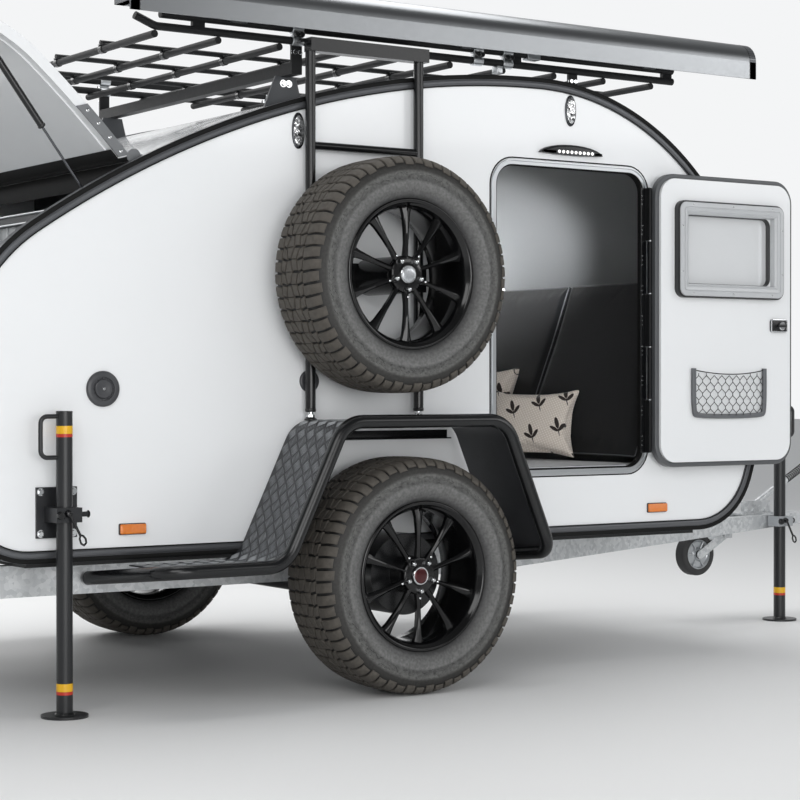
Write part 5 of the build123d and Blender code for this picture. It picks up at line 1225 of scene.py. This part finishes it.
def awning_line(grow):
    """The case's section as (y, z): flat back and top, a round shoulder, a face, and the drip lip."""
    y0, y1, z0, z1 = -745, -858, 2197, 2305
    a, b, c = np.array([y0 - 40, z1]), np.array([y1 + 18, z1 - 26]), np.array([y1, z0 + 34])
    # The circle through three points: its centre is where two chords' perpendicular bisectors meet.
    middle = np.linalg.solve(np.stack([b - a, c - b]) * 2, [b @ b - a @ a, c @ c - b @ b])
    start, end = math.atan2(*(a - middle)[::-1]), math.atan2(*(c - middle)[::-1]) % (2 * math.pi)
    turn = np.linspace(start, end, 14)[:, None]
    shoulder = middle + np.linalg.norm(a - middle) * np.hstack([np.cos(turn), np.sin(turn)])
    points = np.vstack([[(y0, z0), (y0, z1)], shoulder, [(y1, z0 - 29), (y1 + 7, z0 - 29), (y1 + 7, z0)]])
    return points + np.clip(points - points.mean(0), -grow, grow) if grow else points


END_CAP = finish("moulded_end_cap_grey", ("55575A", "5E6063"), 0.34, metallic=0.6, cloud=90, grit=4)
end_caps = [along_x(awning_line(0.0), x0, x1) for x0, x1 in ((-949, -918), (1650, 1681))]
piece("awning_end_caps", end_caps, END_CAP, slot="anthracite")
seams = [along_x(awning_line(0.5), x - 1.2, x + 1.2) for x in (-917, 1649)]
piece("awning_seams", seams, FINISH["fittings_black"], slot="anthracite")

# %% Rail clamps, knobs, saddles and bolts
RAIL_SILVER = finish("die_cast_zinc_bright", ("B6B9BC", "C6C9CB"), 0.33, metallic=0.95, cloud=40, grit=3, edge=1.0)
RAIL_Y = -720
clamp_profile = [(-0.021, 0.0165), (-0.019, 0.0180), (0.019, 0.0180), (0.021, 0.0165)]
knob_profile = [(0.013, 0.0060), (0.018, 0.0095), (0.0245, 0.0095), (0.0260, 0.0075)]
clamps, knobs = [], []
for x in (-270, 470, 600):
    clamps += [turned(clamp_profile, at(x, RAIL_Y, z), (1, 0, 0), 24) for z in (2150, 2190)]
    clamps.append(block(x - 20, x + 20, -733.5, -722, 2146, 2194, 2))
    knobs += [turned(knob_profile, at(x + d, RAIL_Y, 2170), count=10) for d in (-10, 10)]
blocks = [block(548, 572, -738, -706, 2112, 2138, 2), block(686, 742, -738, -704, 2172, 2206, 3)]
piece("rail_clamps", clamps, RAIL_SILVER, slot="bright_steel", places=both_sides)
piece("rail_knobs", knobs, "fittings_black", places=both_sides)
piece("rail_blocks", blocks, RAIL_SILVER, slot="bright_steel")
saddle = turned([(-0.012, 0.0135), (-0.011, 0.0148), (0.011, 0.0148), (0.012, 0.0135)], ORIGIN, (0, 1, 0), 16)
tab = plate(rounded(0.024, 0.030, 0.003, 3), 0.006, (0, 0, 0.012), (0, 0, 1), 0.001, up=(0, 1, 0))
saddles = [placed(at(-797 + 230 * k, y, 2125), (0, 0, 1), (0, 1, 0)) for k in range(10) for y in (-350, 0, 350)]
piece("deck_saddles", [saddle, tab], "black_steel", places=saddles)
BOLT = [turned([(0, 0.0085), (0.0062, 0.0085), (0.0075, 0.0072)], ORIGIN, (0, 0, 1), 6),
        turned([(0, 0.0125), (0.0018, 0.0125)], ORIGIN, (0, 0, 1), 16)]
places = []
for x, top in ((-271, 2031), (900, 2102)):
    for side in (-1, 1):
        places += [placed(at(x + d, side * 654.2, top - h), (0, side, 0)) for d, h in ((-11, 14), (11, 14))]
        places += [placed(at(x + d, side * 723, 2112), (0, side, 0)) for d in (-9, 9)]
piece("rack_bolts", BOLT, "bright_steel", places=places)

# %% [markdown]
# ## Legs
#
# Each prop leg is a powder-coated tube with a yellow band and a thin red one near both ends, a row
# of locking holes, and a clamp with a hand lever and a ring that hangs from its screw.

# %% Bands, holes, levers
YELLOW_BAND = finish("vinyl_band_yellow", ("D9A514", "E6B31E"), 0.35, cloud=25, grit=4, relief=0.02)
RED_BAND = finish("vinyl_band_red", ("B32A1C", "C03324"), 0.35, cloud=25, grit=4, relief=0.02)
# Body: the tube's x and y, the tops of its yellow bands, and the side that its holes face.
LEGS = {"leg_rear_right": (-1156, -822, (886, 103), -1), "leg_rear_left": (-1156, 822, (886, 103), 1),
        "leg_front": (2500, -152, (862, 142), -1)}


def upright(profile, x, y):
    """A profile of (height, radius) in mm turned about an upright line."""
    return turned(np.array(profile) / 1000, at(x, y, 0), (0, 0, 1), 32)


def sleeve(x, y, low, high):
    """A thin closed sleeve on the leg's upright tube."""
    radius = 25.5
    return upright([(low, radius - 1), (low, radius), (high, radius), (high, radius - 1)], x, y)


hole = [(0.0235, 0.0030), (0.02502, 0.0030), (0.02502, 0.0019), (0.0240, 0.0012)]
for body, (x, y, band_tops, side) in LEGS.items():
    piece(body + "_bands", [sleeve(x, y, z - 24, z) for z in band_tops], YELLOW_BAND, body, "black_steel")
    piece(body + "_red_bands", [sleeve(x, y, z - 34, z - 24.5) for z in band_tops], RED_BAND, body, "black_steel")
    holes = [turned(hole, at(x, y, z), (0, side, 0), 14) for z in (42, 190, 290, 390)]
    weld = upright([(8, 31), (10, 30), (14, 26.5), (15, 25)], x, y)
    top = upright([(925, 25.6), (929, 25.2), (931, 23), (931.5, 2)], x, y)
    piece(body + "_fittings", [weld, top, *holes], FINISH["fittings_black"], body, "black_steel")

LEG_COAT = finish("powder_coated_leg_tube", ("1B1C1E", "242527"), 0.36, cloud=250, grit=9, relief=0.006, spread=0.02,
                  edge=1.0)
for body in LEGS:
    NODES[body].material_slots[0].material = LEG_COAT
levers = []
for x, y, z in ((-1156, -822, 615.5), (-1156, 822, 615.5), (2500, -152, 426)):
    out = math.copysign(1, y)
    levers.append(bar(at(x + 77, y, z), at(x + 82, y, z), 0.0115, 18))
    face = y + out * 37
    levers.append(turned([(0, 0.0115), (0.006, 0.0115), (0.011, 0.0085), (0.014, 0.0085), (0.015, 0.006)],
                         at(x - 5, face, z + 5), (0, out, 0), 20))
    levers.append(turned([(0, 0.0130), (0.012, 0.0130), (0.015, 0.0100)], at(x - 31, face, z), (0, out, 0), 7))
    levers.append(bar(at(x - 5, face + out * 11, z + 5), at(x + 30, face + out * 13, z - 62), 0.0042, 12))
    ring = np.array([(0, 0), (9, -3), (17, -12), (19, -24), (12, -32), (2, -26), (-3, -12)])
    ring = np.array([at(x + 30 + a, face + out * 13, z - 60 + b) for a, b in ring])
    ring = np.vstack([ring + (np.roll(ring, -1, 0) - ring) * t for t in (0, 0.5)]).reshape(2, -1, 3).transpose(1, 0, 2)
    levers.append(carried(circle(0.0034, 8), ring.reshape(-1, 3), up=(0, 1, 0), closed=True))
piece("leg_clamp_levers", levers, "black_steel")
places = [placed(at(-1156 + dx, side * 768.2, z), (0, side, 0)) for side in (1, -1) for dx in (-54, 54)
          for z in (556, 684)]
piece("leg_plate_bolts", BOLT, "bright_steel", places=places)
# The clamps are zinc; the rear ones under the body get a dark grey tone, painted shade, and only the drawbar's clamp,
# ahead of X = 1 m, shows the zinc grey.
mixed = finish("clamp_zinc_painted_shade", ("232426", "2B2C2F"), 0.36, metallic=0.3, cloud=120, grit=6, relief=0.01,
               edge=1.0)
tree, shader, place, bump = parts_of(mixed)
ahead = maths(tree, "GREATER_THAN", node(tree, "ShaderNodeSeparateXYZ", {"Vector": place}).outputs["X"], 1.0)
# coat is the dark tone of the rear clamps: painted shade.
coat = shader.inputs["Base Color"].links[0].from_socket
fill(tree, shader, {"Base Color": blend(tree, ahead, coat, linear("A4A7AA"))})
NODES["leg_clamps"].material_slots[0].material = mixed

# %% [markdown]
# ## Hatch and galley
#
# The hatch has a light glossy inner skin, black gas struts with a slim rod, and screwed brackets.
# In the galley the shelf holds clear bins behind a rail, and each drawer has a bar handle.

# %% Hatch skin, struts and bracket screws
LINER = finish("thermoformed_abs_pale", ("E2E4E6", "EAECED"), 0.2, cloud=400, grit=9, relief=0.04, spread=0.03,
               Coat_Weight=0.4)
NODES["hatch_liner"].material_slots[0].material = LINER
NODES["strut_rods"].material_slots[0].material = DARK_CHROME
strut_start, strut_end = np.array([-1372, 2076]), np.array([-1012, 1589])
unit = (strut_end - strut_start) / np.linalg.norm(strut_end - strut_start)
rings, eyes = [], []
for side in (-1, 1):
    for low, high, radius in ((326, 338, 0.0128), (20, 34, 0.0124)):
        (ax, az), (bx, bz) = strut_start + unit * low, strut_start + unit * high
        rings.append(bar(at(ax, side * 700, az), at(bx, side * 700, bz), radius, 20))
    eyes.append(bar(*[at(strut_end[0], side * y, strut_end[1]) for y in (692, 708)], 0.0095, 18))
piece("strut_collars", rings, FINISH["fittings_black"], "strut_cylinders", "black_steel")
piece("strut_rod_eyes", eyes, FINISH["fittings_black"], "strut_rods", "black_steel")

# %% Hinge arms, their screws, and the seal over the roof's cut edge
ARM_STEEL = finish("zinc_plated_grey_steel", ("77797B", "828486"), 0.42, metallic=0.6, cloud=60, grit=5, relief=0.01,
                   edge=1.0)
for name in ("hatch_brackets", "hatch_hinges"):
    NODES[name].material_slots[0].material = ARM_STEEL
hatch_x, seal_end = -870, 716


def roof_z(x):
    """The roof's height at x: its arc's middle + (radius ^ 2 - (x - middle) ^ 2) ^ 1/2."""
    return ROOF_TOP - ROOF_R + np.sqrt(ROOF_R ** 2 - (x - ROOF_X) ** 2)


# The screws are drawn on the closed hatch and turned up by its 75 degrees.
hinge_z = roof_z(hatch_x) + 12
c, s = math.cos(math.radians(75)), math.sin(math.radians(75))
closed_x = np.array([-894.0, -944.0, -994.0, -1040.0])
dx, dz = closed_x - hatch_x, roof_z(closed_x) - 17 - hinge_z
open_x, open_z = hatch_x + c * dx + s * dz, hinge_z - s * dx + c * dz
arm_screws = [screws(at(open_x, side * 725, open_z), (0, side, 0), 5.5, 1.4) for side in (-1, 1)]
piece("hatch_arm_screws", arm_screws, "bright_steel", "hatch")
flap = [(-870.2, 1718), (-871.4, 1716), (-871.6, 1688), (-870.6, 1672), (-866, 1652), (-863.5, 1653), (-868.2, 1672),
        (-870, 1686)]
piece("roof_edge_seal", along_y(flap, -seal_end, seal_end), RUBBER_SEAL, slot="tyre_rubber")
strip = np.array([(-874.1, 1718), (-872.7, 1716), (-872.7, 1677), (-874.5, 1674.5), (-906.5, 1658), (-906.5, 1662.8),
                  (-874.2, 1679.7)]) - (hatch_x, hinge_z)
strip = strip @ np.array([(c, -s), (s, c)]) + (hatch_x, hinge_z)
cover = turned([(-0.716, 0.004), (-0.716, 0.0133), (0.716, 0.0133), (0.716, 0.004)], at(hatch_x, 0, hinge_z),
               (0, 1, 0), 24)
piece("hatch_hinge_cover", cover, RUBBER_SEAL, slot="tyre_rubber")
piece("hatch_edge_seal", along_y(strip, -seal_end, seal_end), RUBBER_SEAL, "hatch", "tyre_rubber")

# %% Clear bins, shelf rail and drawer handles
CLEAR_BIN = finish("polypropylene_clear", ("D9DDDF", "E6E9EA"), 0.18, cloud=60, grit=9, relief=0.4, IOR=1.49,
                   Transmission_Weight=0.45)
bins = []
for y0, y1 in ((-670, -262), (-226, 224), (250, 655)):
    bins.append(along_x([(y0 + 6, 1498), (y1 - 6, 1498), (y1 - 1, 1574), (y0 + 1, 1574)], -958, -800))
    bins += [bar(at(-961, y, 1500), at(-961, y, 1572), 0.004, 8) for y in np.linspace(y0 + 40, y1 - 40, 7)]
piece("shelf_bins", bins, CLEAR_BIN, slot="window_glass")
rails = [bar(at(-978.5, -668, z), at(-978.5, 668, z), 0.0035, 10) for z in (1487, 1555, 1585)]
piece("shelf_rail", rails, "light_alloy")
handles, posts = [], []
for z in (698, 836, 974):
    for y in (-479, 0, 479):
        handles.append(bar(at(-1436, y - 90, z), at(-1436, y + 90, z), 0.006, 12))
        posts += [bar(at(-1416, y + d, z), at(-1436, y + d, z), 0.0045, 10) for d in (-70, 70)]
piece("drawer_handles", handles + posts, "bright_steel")

# %% [markdown]
# ## Drawbar
#
# The galvanised drawbar carries a cast coupling with a latch, a handbrake lever with a rubber grip,
# bolts through its plates, and a small wheel with a pressed silver rim under it.

# %% Jockey wheel's rim, lever grip, coupling latch and bolts
hub = at(2150, 0, 289)
dish = [(0.0160, 0.0635), (0.0240, 0.0635), (0.0268, 0.0625), (0.0272, 0.0600), (0.0200, 0.0560), (0.0175, 0.0520),
        (0.0175, 0.0300), (0.0225, 0.0240), (0.0275, 0.0225), (0.0275, 0.0192)]
dishes = []
for side in (-1, 1):
    dishes.append(turned(dish, hub, (0, side, 0), 40))
    for k in range(6):
        a = k / 6 * 2 * math.pi
        ray = np.array([math.cos(a), 0, math.sin(a)])
        start, end = hub + ray * 0.026 + (0, side * 0.0200, 0), hub + ray * 0.058 + (0, side * 0.0215, 0)
        dishes.append(bar(start, end, 0.0045, 8))
piece("jockey_rim", dishes, RAIL_SILVER, "jockey_wheel", "bright_steel", sharp=30)
foot, tip = np.array([2440, 488]), np.array([2755, 655])
way_up = (tip - foot) / np.linalg.norm(tip - foot)


def on_lever(distance):
    """A place on the handbrake lever, distance mm up from its grip's lower end."""
    x, z = tip - way_up * 125 + way_up * distance
    return at(x, -43, z)


grip_rings = [bar(on_lever(d), on_lever(d + 8), 0.0168, 20) for d in range(0, 118, 11)]
piece("lever_grip", grip_rings, RUBBER_SEAL, slot="tyre_rubber")
latch = bar(at(2800, 0, 470), at(2905, 0, 508), 0.0125, 18)
bump_ring = turned([(0.0, 0.0468), (0.004, 0.0480), (0.016, 0.0480), (0.020, 0.0468)], at(2912, 0, 404), (0, 0, 1), 32)
piece("coupling_grip", [latch, bump_ring], "fittings_black")
places = [placed(at(x, side * 30.2, z), (0, side, 0)) for x in (2815, 2850) for z in (412, 434) for side in (-1, 1)]
places += [placed(at(x, -62.2, 470), (0, -1, 0)) for x in (2392, 2430, 2500)]
places += [placed(at(x, y, 458.2), (0, 0, 1)) for x in (2372, 2526) for y in (-60, 60)]
piece("drawbar_bolts", BOLT, "galvanised", places=places)
hook = np.array([(-24, 0), (-24, -26), (-8, -42), (12, -38), (20, -22)])
hook_path = smooth([at(604 + x, -752, 466 + z) for x, z in hook], 2)
piece("sill_hook", carried(circle(0.0032, 8), hook_path, up=(0, 1, 0)), "black_steel")

# %% [markdown]
# ## Cushions, mattress and pillows
#
# Foam is wrapped in a sewn cover and pushes it outwards, so a pad is fullest in the middle of each
# panel, its edges pull in between the corners, and short wrinkles run in from the seams. A cloth
# simulation with a little air pressure and no gravity gives just that: each pad starts a bit small,
# swells, and no point may move further than the given travel. Piping is laid on afterwards.

# %% The swelling


def swollen(shell, voxel, travel):
    """A closed shell blown up as cloth: point = start + (end - start) * min(1, travel / distance).

    The shell is first remeshed to cells of voxel metres, and the air pushes it for 20 frames.
    """
    pressure, frames = 4.0, 20
    mesh = bpy.data.meshes.new("pad")
    mesh.from_pydata(shell[0], [], shell[1])
    pad = bpy.data.objects.new("pad", mesh)
    bpy.context.scene.collection.objects.link(pad)
    voxels = pad.modifiers.new("voxels", "REMESH")
    voxels.mode = "VOXEL"
    voxels.voxel_size = voxel
    pad.data = bpy.data.meshes.new_from_object(pad.evaluated_get(bpy.context.evaluated_depsgraph_get()))
    pad.modifiers.clear()
    count = len(pad.data.vertices)
    start = np.empty(count * 3)
    pad.data.vertices.foreach_get("co", start)
    end = start.copy()
    cloth = pad.modifiers.new("air", "CLOTH")
    cloth.settings.use_pressure = True
    cloth.settings.uniform_pressure_force = pressure
    cloth.settings.effector_weights.gravity = 0
    cloth.settings.quality = 5
    cloth.point_cache.frame_end = frames
    for number in range(1, frames + 1):
        bpy.context.scene.frame_set(number)
    blown = pad.evaluated_get(bpy.context.evaluated_depsgraph_get()).to_mesh()
    blown.vertices.foreach_get("co", end)
    bpy.context.scene.frame_set(1)
    faces = [tuple(face.vertices) for face in pad.data.polygons]
    bpy.data.objects.remove(pad)
    start, end = start.reshape(-1, 3), end.reshape(-1, 3)
    move = end - start
    length = np.maximum(np.linalg.norm(move, axis=1), 1e-9)[:, None]
    print("swollen", count, "points, most", round(float(length.max()) * 1000, 1), "mm")
    return start + move * np.minimum(1, travel / length), faces


def soft(name, shell, finish, slot=None, attribute=None, levels=1):
    """A padded piece, subdivided levels times."""
    made = piece(name, shell, finish, slot=slot, sharp=180, attribute=attribute)
    if levels:
        rounder = made.modifiers.new("rounder", "SUBSURF")
        rounder.levels = rounder.render_levels = levels
    return made


def piping(shell, path, radius):
    """A cord laid along a path snapped to the nearest points of a shell, then eased by a running mean.

    It is lifted a millimetre off the cloth, towards the path.
    """
    path = np.asarray(path)
    gap = np.linalg.norm(path[:, None] - shell[0][None], axis=2)
    near = shell[0][gap.argmin(1)]
    for _ in range(6):
        near = (np.roll(near, 1, 0) + near * 2 + np.roll(near, -1, 0)) / 4
    away = path - near
    away /= np.maximum(np.linalg.norm(away, axis=1), 1e-6)[:, None]
    return carried(circle(radius, 8), near + away * 0.001, up=(0.13, 0.29, 0.95), closed=True)


# %% Back cushions
LEAN = math.radians(21)
FOOT = np.array([1194, 720.3])


def leaned(a, c):
    """Drawing (x, z) at distance a up the back cushion's front face and c behind it."""
    return FOOT[0] + a * math.sin(LEAN) + c * math.cos(LEAN), FOOT[1] + a * math.cos(LEAN) - c * math.sin(LEAN)


cords = []
for name, y0, y1, way in (("right", -720, 60, -1), ("left", -60, 720, 1)):
    side_line = [leaned(a, c) for a, c in ((14, 13), (756, 13), (756, 97), (54, 97))]
    points, faces = swollen(along_y(side_line, y0 + 12, y1 - 12), voxel=0.011, travel=0.013)
    # The cushions press on each other: the last 100 mm are squeezed to 38.5, which makes the seam's edge
    # crisp, and both follow one slightly bent parting line.
    deep = way * points[:, 1]
    deep = np.where(deep > 0.040, deep, 0.040 - (0.040 - deep) * 0.385)
    parting = 0.006 * np.sin((points[:, 2] - 0.72) / 0.71 * 2 * np.pi)
    points[:, 1] = way * deep + parting * np.clip((0.2 - deep) / 0.2, 0, 1)
    pad = (points, faces)
    cushion = soft("back_cushion_" + name, pad, "black_upholstery")
    if name == "right":
        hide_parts("back_cushions")
    # The seam runs round the front face, 6 mm behind it.
    seam_low, seam_high = (-714, -2.5) if way < 0 else (2.5, 714)
    t = np.linspace(0, 1, 60, endpoint=False)[:, None]
    corners = []
    for a, y in ((8, seam_low), (764, seam_low), (764, seam_high), (8, seam_high)):
        x, z = leaned(a, 6)
        corners.append(at(x, y, z))
    path = np.vstack([corners[k] + (corners[(k + 1) % 4] - corners[k]) * t for k in range(4)])
    cords.append(piping(pad, path, 0.0026))
PIPING = finish("piping_cord_grey", ("4A4B4E", "56585B"), 0.6, cloud=20, grit=2, relief=0.05)
piece("back_cushion_piping", cords, PIPING, slot="black_upholstery")

# %% Mattress
x0, x1, y1 = -534, 1410, 720
box = along_y([(x0 + 12, 620), (x1 - 12, 620), (x1 - 12, 709), (x0 + 12, 709)], -y1 + 12, y1 - 12)
pad = swollen(box, voxel=0.018, travel=0.009)
mattress = soft("mattress_pad", pad, "mattress_cloth", levels=0)
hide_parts("mattress")
cords = []
for z in (616, 714):
    flat = rounded((x1 - x0 - 14) / 1000, (2 * y1 - 14) / 1000, 0.02, 6)
    flat = np.vstack([np.linspace(flat[k], flat[(k + 1) % len(flat)], 25)[:-1] for k in range(len(flat))])
    flat = flat[np.linalg.norm(flat - np.roll(flat, 1, 0), axis=1) > 0.004]
    path = np.stack([flat[:, 0] + (x0 + x1) / 2000 + AXLE_X, flat[:, 1], np.full(len(flat), z / 1000)], -1)
    cords.append(piping(pad, path, 0.0035))
piece("mattress_piping", cords, PIPING, slot="mattress_cloth")

# %% [markdown]
# A scatter pillow is two panels sewn edge to edge. It starts as a lens: thickness falls to almost
# nothing at the seam, and the sides already pull in a little, so the corners stand out as points.
# The cover is printed with scattered sprigs: three leaves, each an ellipse, that share a stem.

# %% Linen with a printed sprig
LINEN, weave = woven("linen_cover_printed", ("E2D7CB", "EDE3D8"), 9.0, 0.9, roughness=0.9, sheen=0.3)
tree, shader, place, bump = parts_of(LINEN)
cloth_place = node(tree, "ShaderNodeAttribute", attribute_name="cloth").outputs["Vector"]
tilted = node(tree, "ShaderNodeMapping", {"Vector": cloth_place, "Rotation": (0, 0, 0.28), "Scale": (0.105, 0.115, 1)},
              vector_type="TEXTURE")
axes = node(tree, "ShaderNodeSeparateXYZ", {"Vector": tilted.outputs[0]}).outputs
# Each row of tiles is shifted half a tile further than the one below it.
shifted = maths(tree, "MULTIPLY_ADD", maths(tree, "FLOOR", axes["Y"]), 0.5, axes["X"])
tile = node(tree, "ShaderNodeCombineXYZ", {"X": maths(tree, "FRACT", shifted), "Y": maths(tree, "FRACT", axes["Y"])})
marks = []
for centre_x, centre_y, lean, long_side, short_side in ((0.5, 0.64, 0.0, 0.20, 0.075), (0.36, 0.47, 0.85, 0.17, 0.06),
                                                        (0.64, 0.47, -0.85, 0.17, 0.06), (0.5, 0.34, 0.0, 0.17, 0.018)):
    moved = node(tree, "ShaderNodeVectorMath", {0: tile.outputs[0], 1: (centre_x, centre_y, 0)}, operation="SUBTRACT")
    leaf = node(tree, "ShaderNodeMapping", {"Vector": moved.outputs[0], "Rotation": (0, 0, lean),
                                            "Scale": (short_side, long_side, 1)}, vector_type="TEXTURE")
    marks.append(node(tree, "ShaderNodeVectorMath", {0: leaf.outputs[0]}, operation="LENGTH").outputs["Value"])
while len(marks) > 1:
    marks.append(maths(tree, "MINIMUM", marks.pop(), marks.pop()))
ink = ranged(tree, marks[0], 0.94, 1.06, 1.0, 0.0)
# Painted shade in the weave: the colour is darker where the weave's height is low.
weave_shade_tone = blend(tree, weave, linear("DCD0C4"), linear("F8F1E8"))
fill(tree, shader, {"Base Color": blend(tree, ink, weave_shade_tone, linear("2E2622"))})

# %% Two scatter pillows


def pillow_lens(width, height, thick):
    """Local points (w, u, v): half thickness = thick / 2 * ((1 - |u|^2.6) * (1 - |v|^2.6)) ^ 0.55 + 4 mm."""
    u, v = np.meshgrid(np.linspace(-1, 1, 41), np.linspace(-1, 1, 41), indexing="ij")
    full = ((1 - np.abs(u) ** 2.6) * (1 - np.abs(v) ** 2.6)) ** 0.55
    y = u * width / 2 * (1 - 0.07 * (1 - v ** 2))
    z = v * height / 2 * (1 - 0.07 * (1 - u ** 2))
    sheets = [np.stack([side * (thick / 2 * full + 4), y, z], -1) for side in (-1, 1)]
    rim = [np.vstack([sheet[0], sheet[1:, -1], sheet[-1, -2::-1], sheet[-2:0:-1, 0]]) for sheet in sheets]
    return merge(grid(sheets[0]), grid(sheets[1]), grid(rim, close_columns=True))


# Both lean on the cushions and are turned a little towards the door. print_shift moves the left one's sprigs.
PILLOWS = (("right", 0.620, -0.2455, 35, 16, 372, 286, 0.0), ("left", 0.728, 0.235, 15, 21, 300, 392, 0.37))
for name, centre_x, centre_y, yaw, lean, width, height, print_shift in PILLOWS:
    points, faces = pillow_lens(width, height, 78)
    yaw, lean = math.radians(yaw), math.radians(lean)
    side_way = np.array([-math.sin(yaw), math.cos(yaw), 0])
    up_way = np.array([math.cos(yaw) * math.sin(lean), math.sin(yaw) * math.sin(lean), math.cos(lean)])
    out_way = np.array([math.cos(yaw) * math.cos(lean), math.sin(yaw) * math.cos(lean), -math.sin(lean)])
    origin = np.array([centre_x, centre_y, 0.7235 + height / 2000 * math.cos(lean)])
    points = origin + (points[:, :1] * out_way + points[:, 1:2] * side_way + points[:, 2:] * up_way) / 1000
    pad = swollen((points, faces), voxel=0.0065, travel=0.018)
    local = pad[0] - origin
    across_cloth = np.stack([local @ -side_way, local @ up_way, local @ out_way], -1) + print_shift
    pillow = soft("pillow_" + name, pad, LINEN, "beige_weave", ("cloth", across_cloth))
    if name == "right":
        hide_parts("pillows")
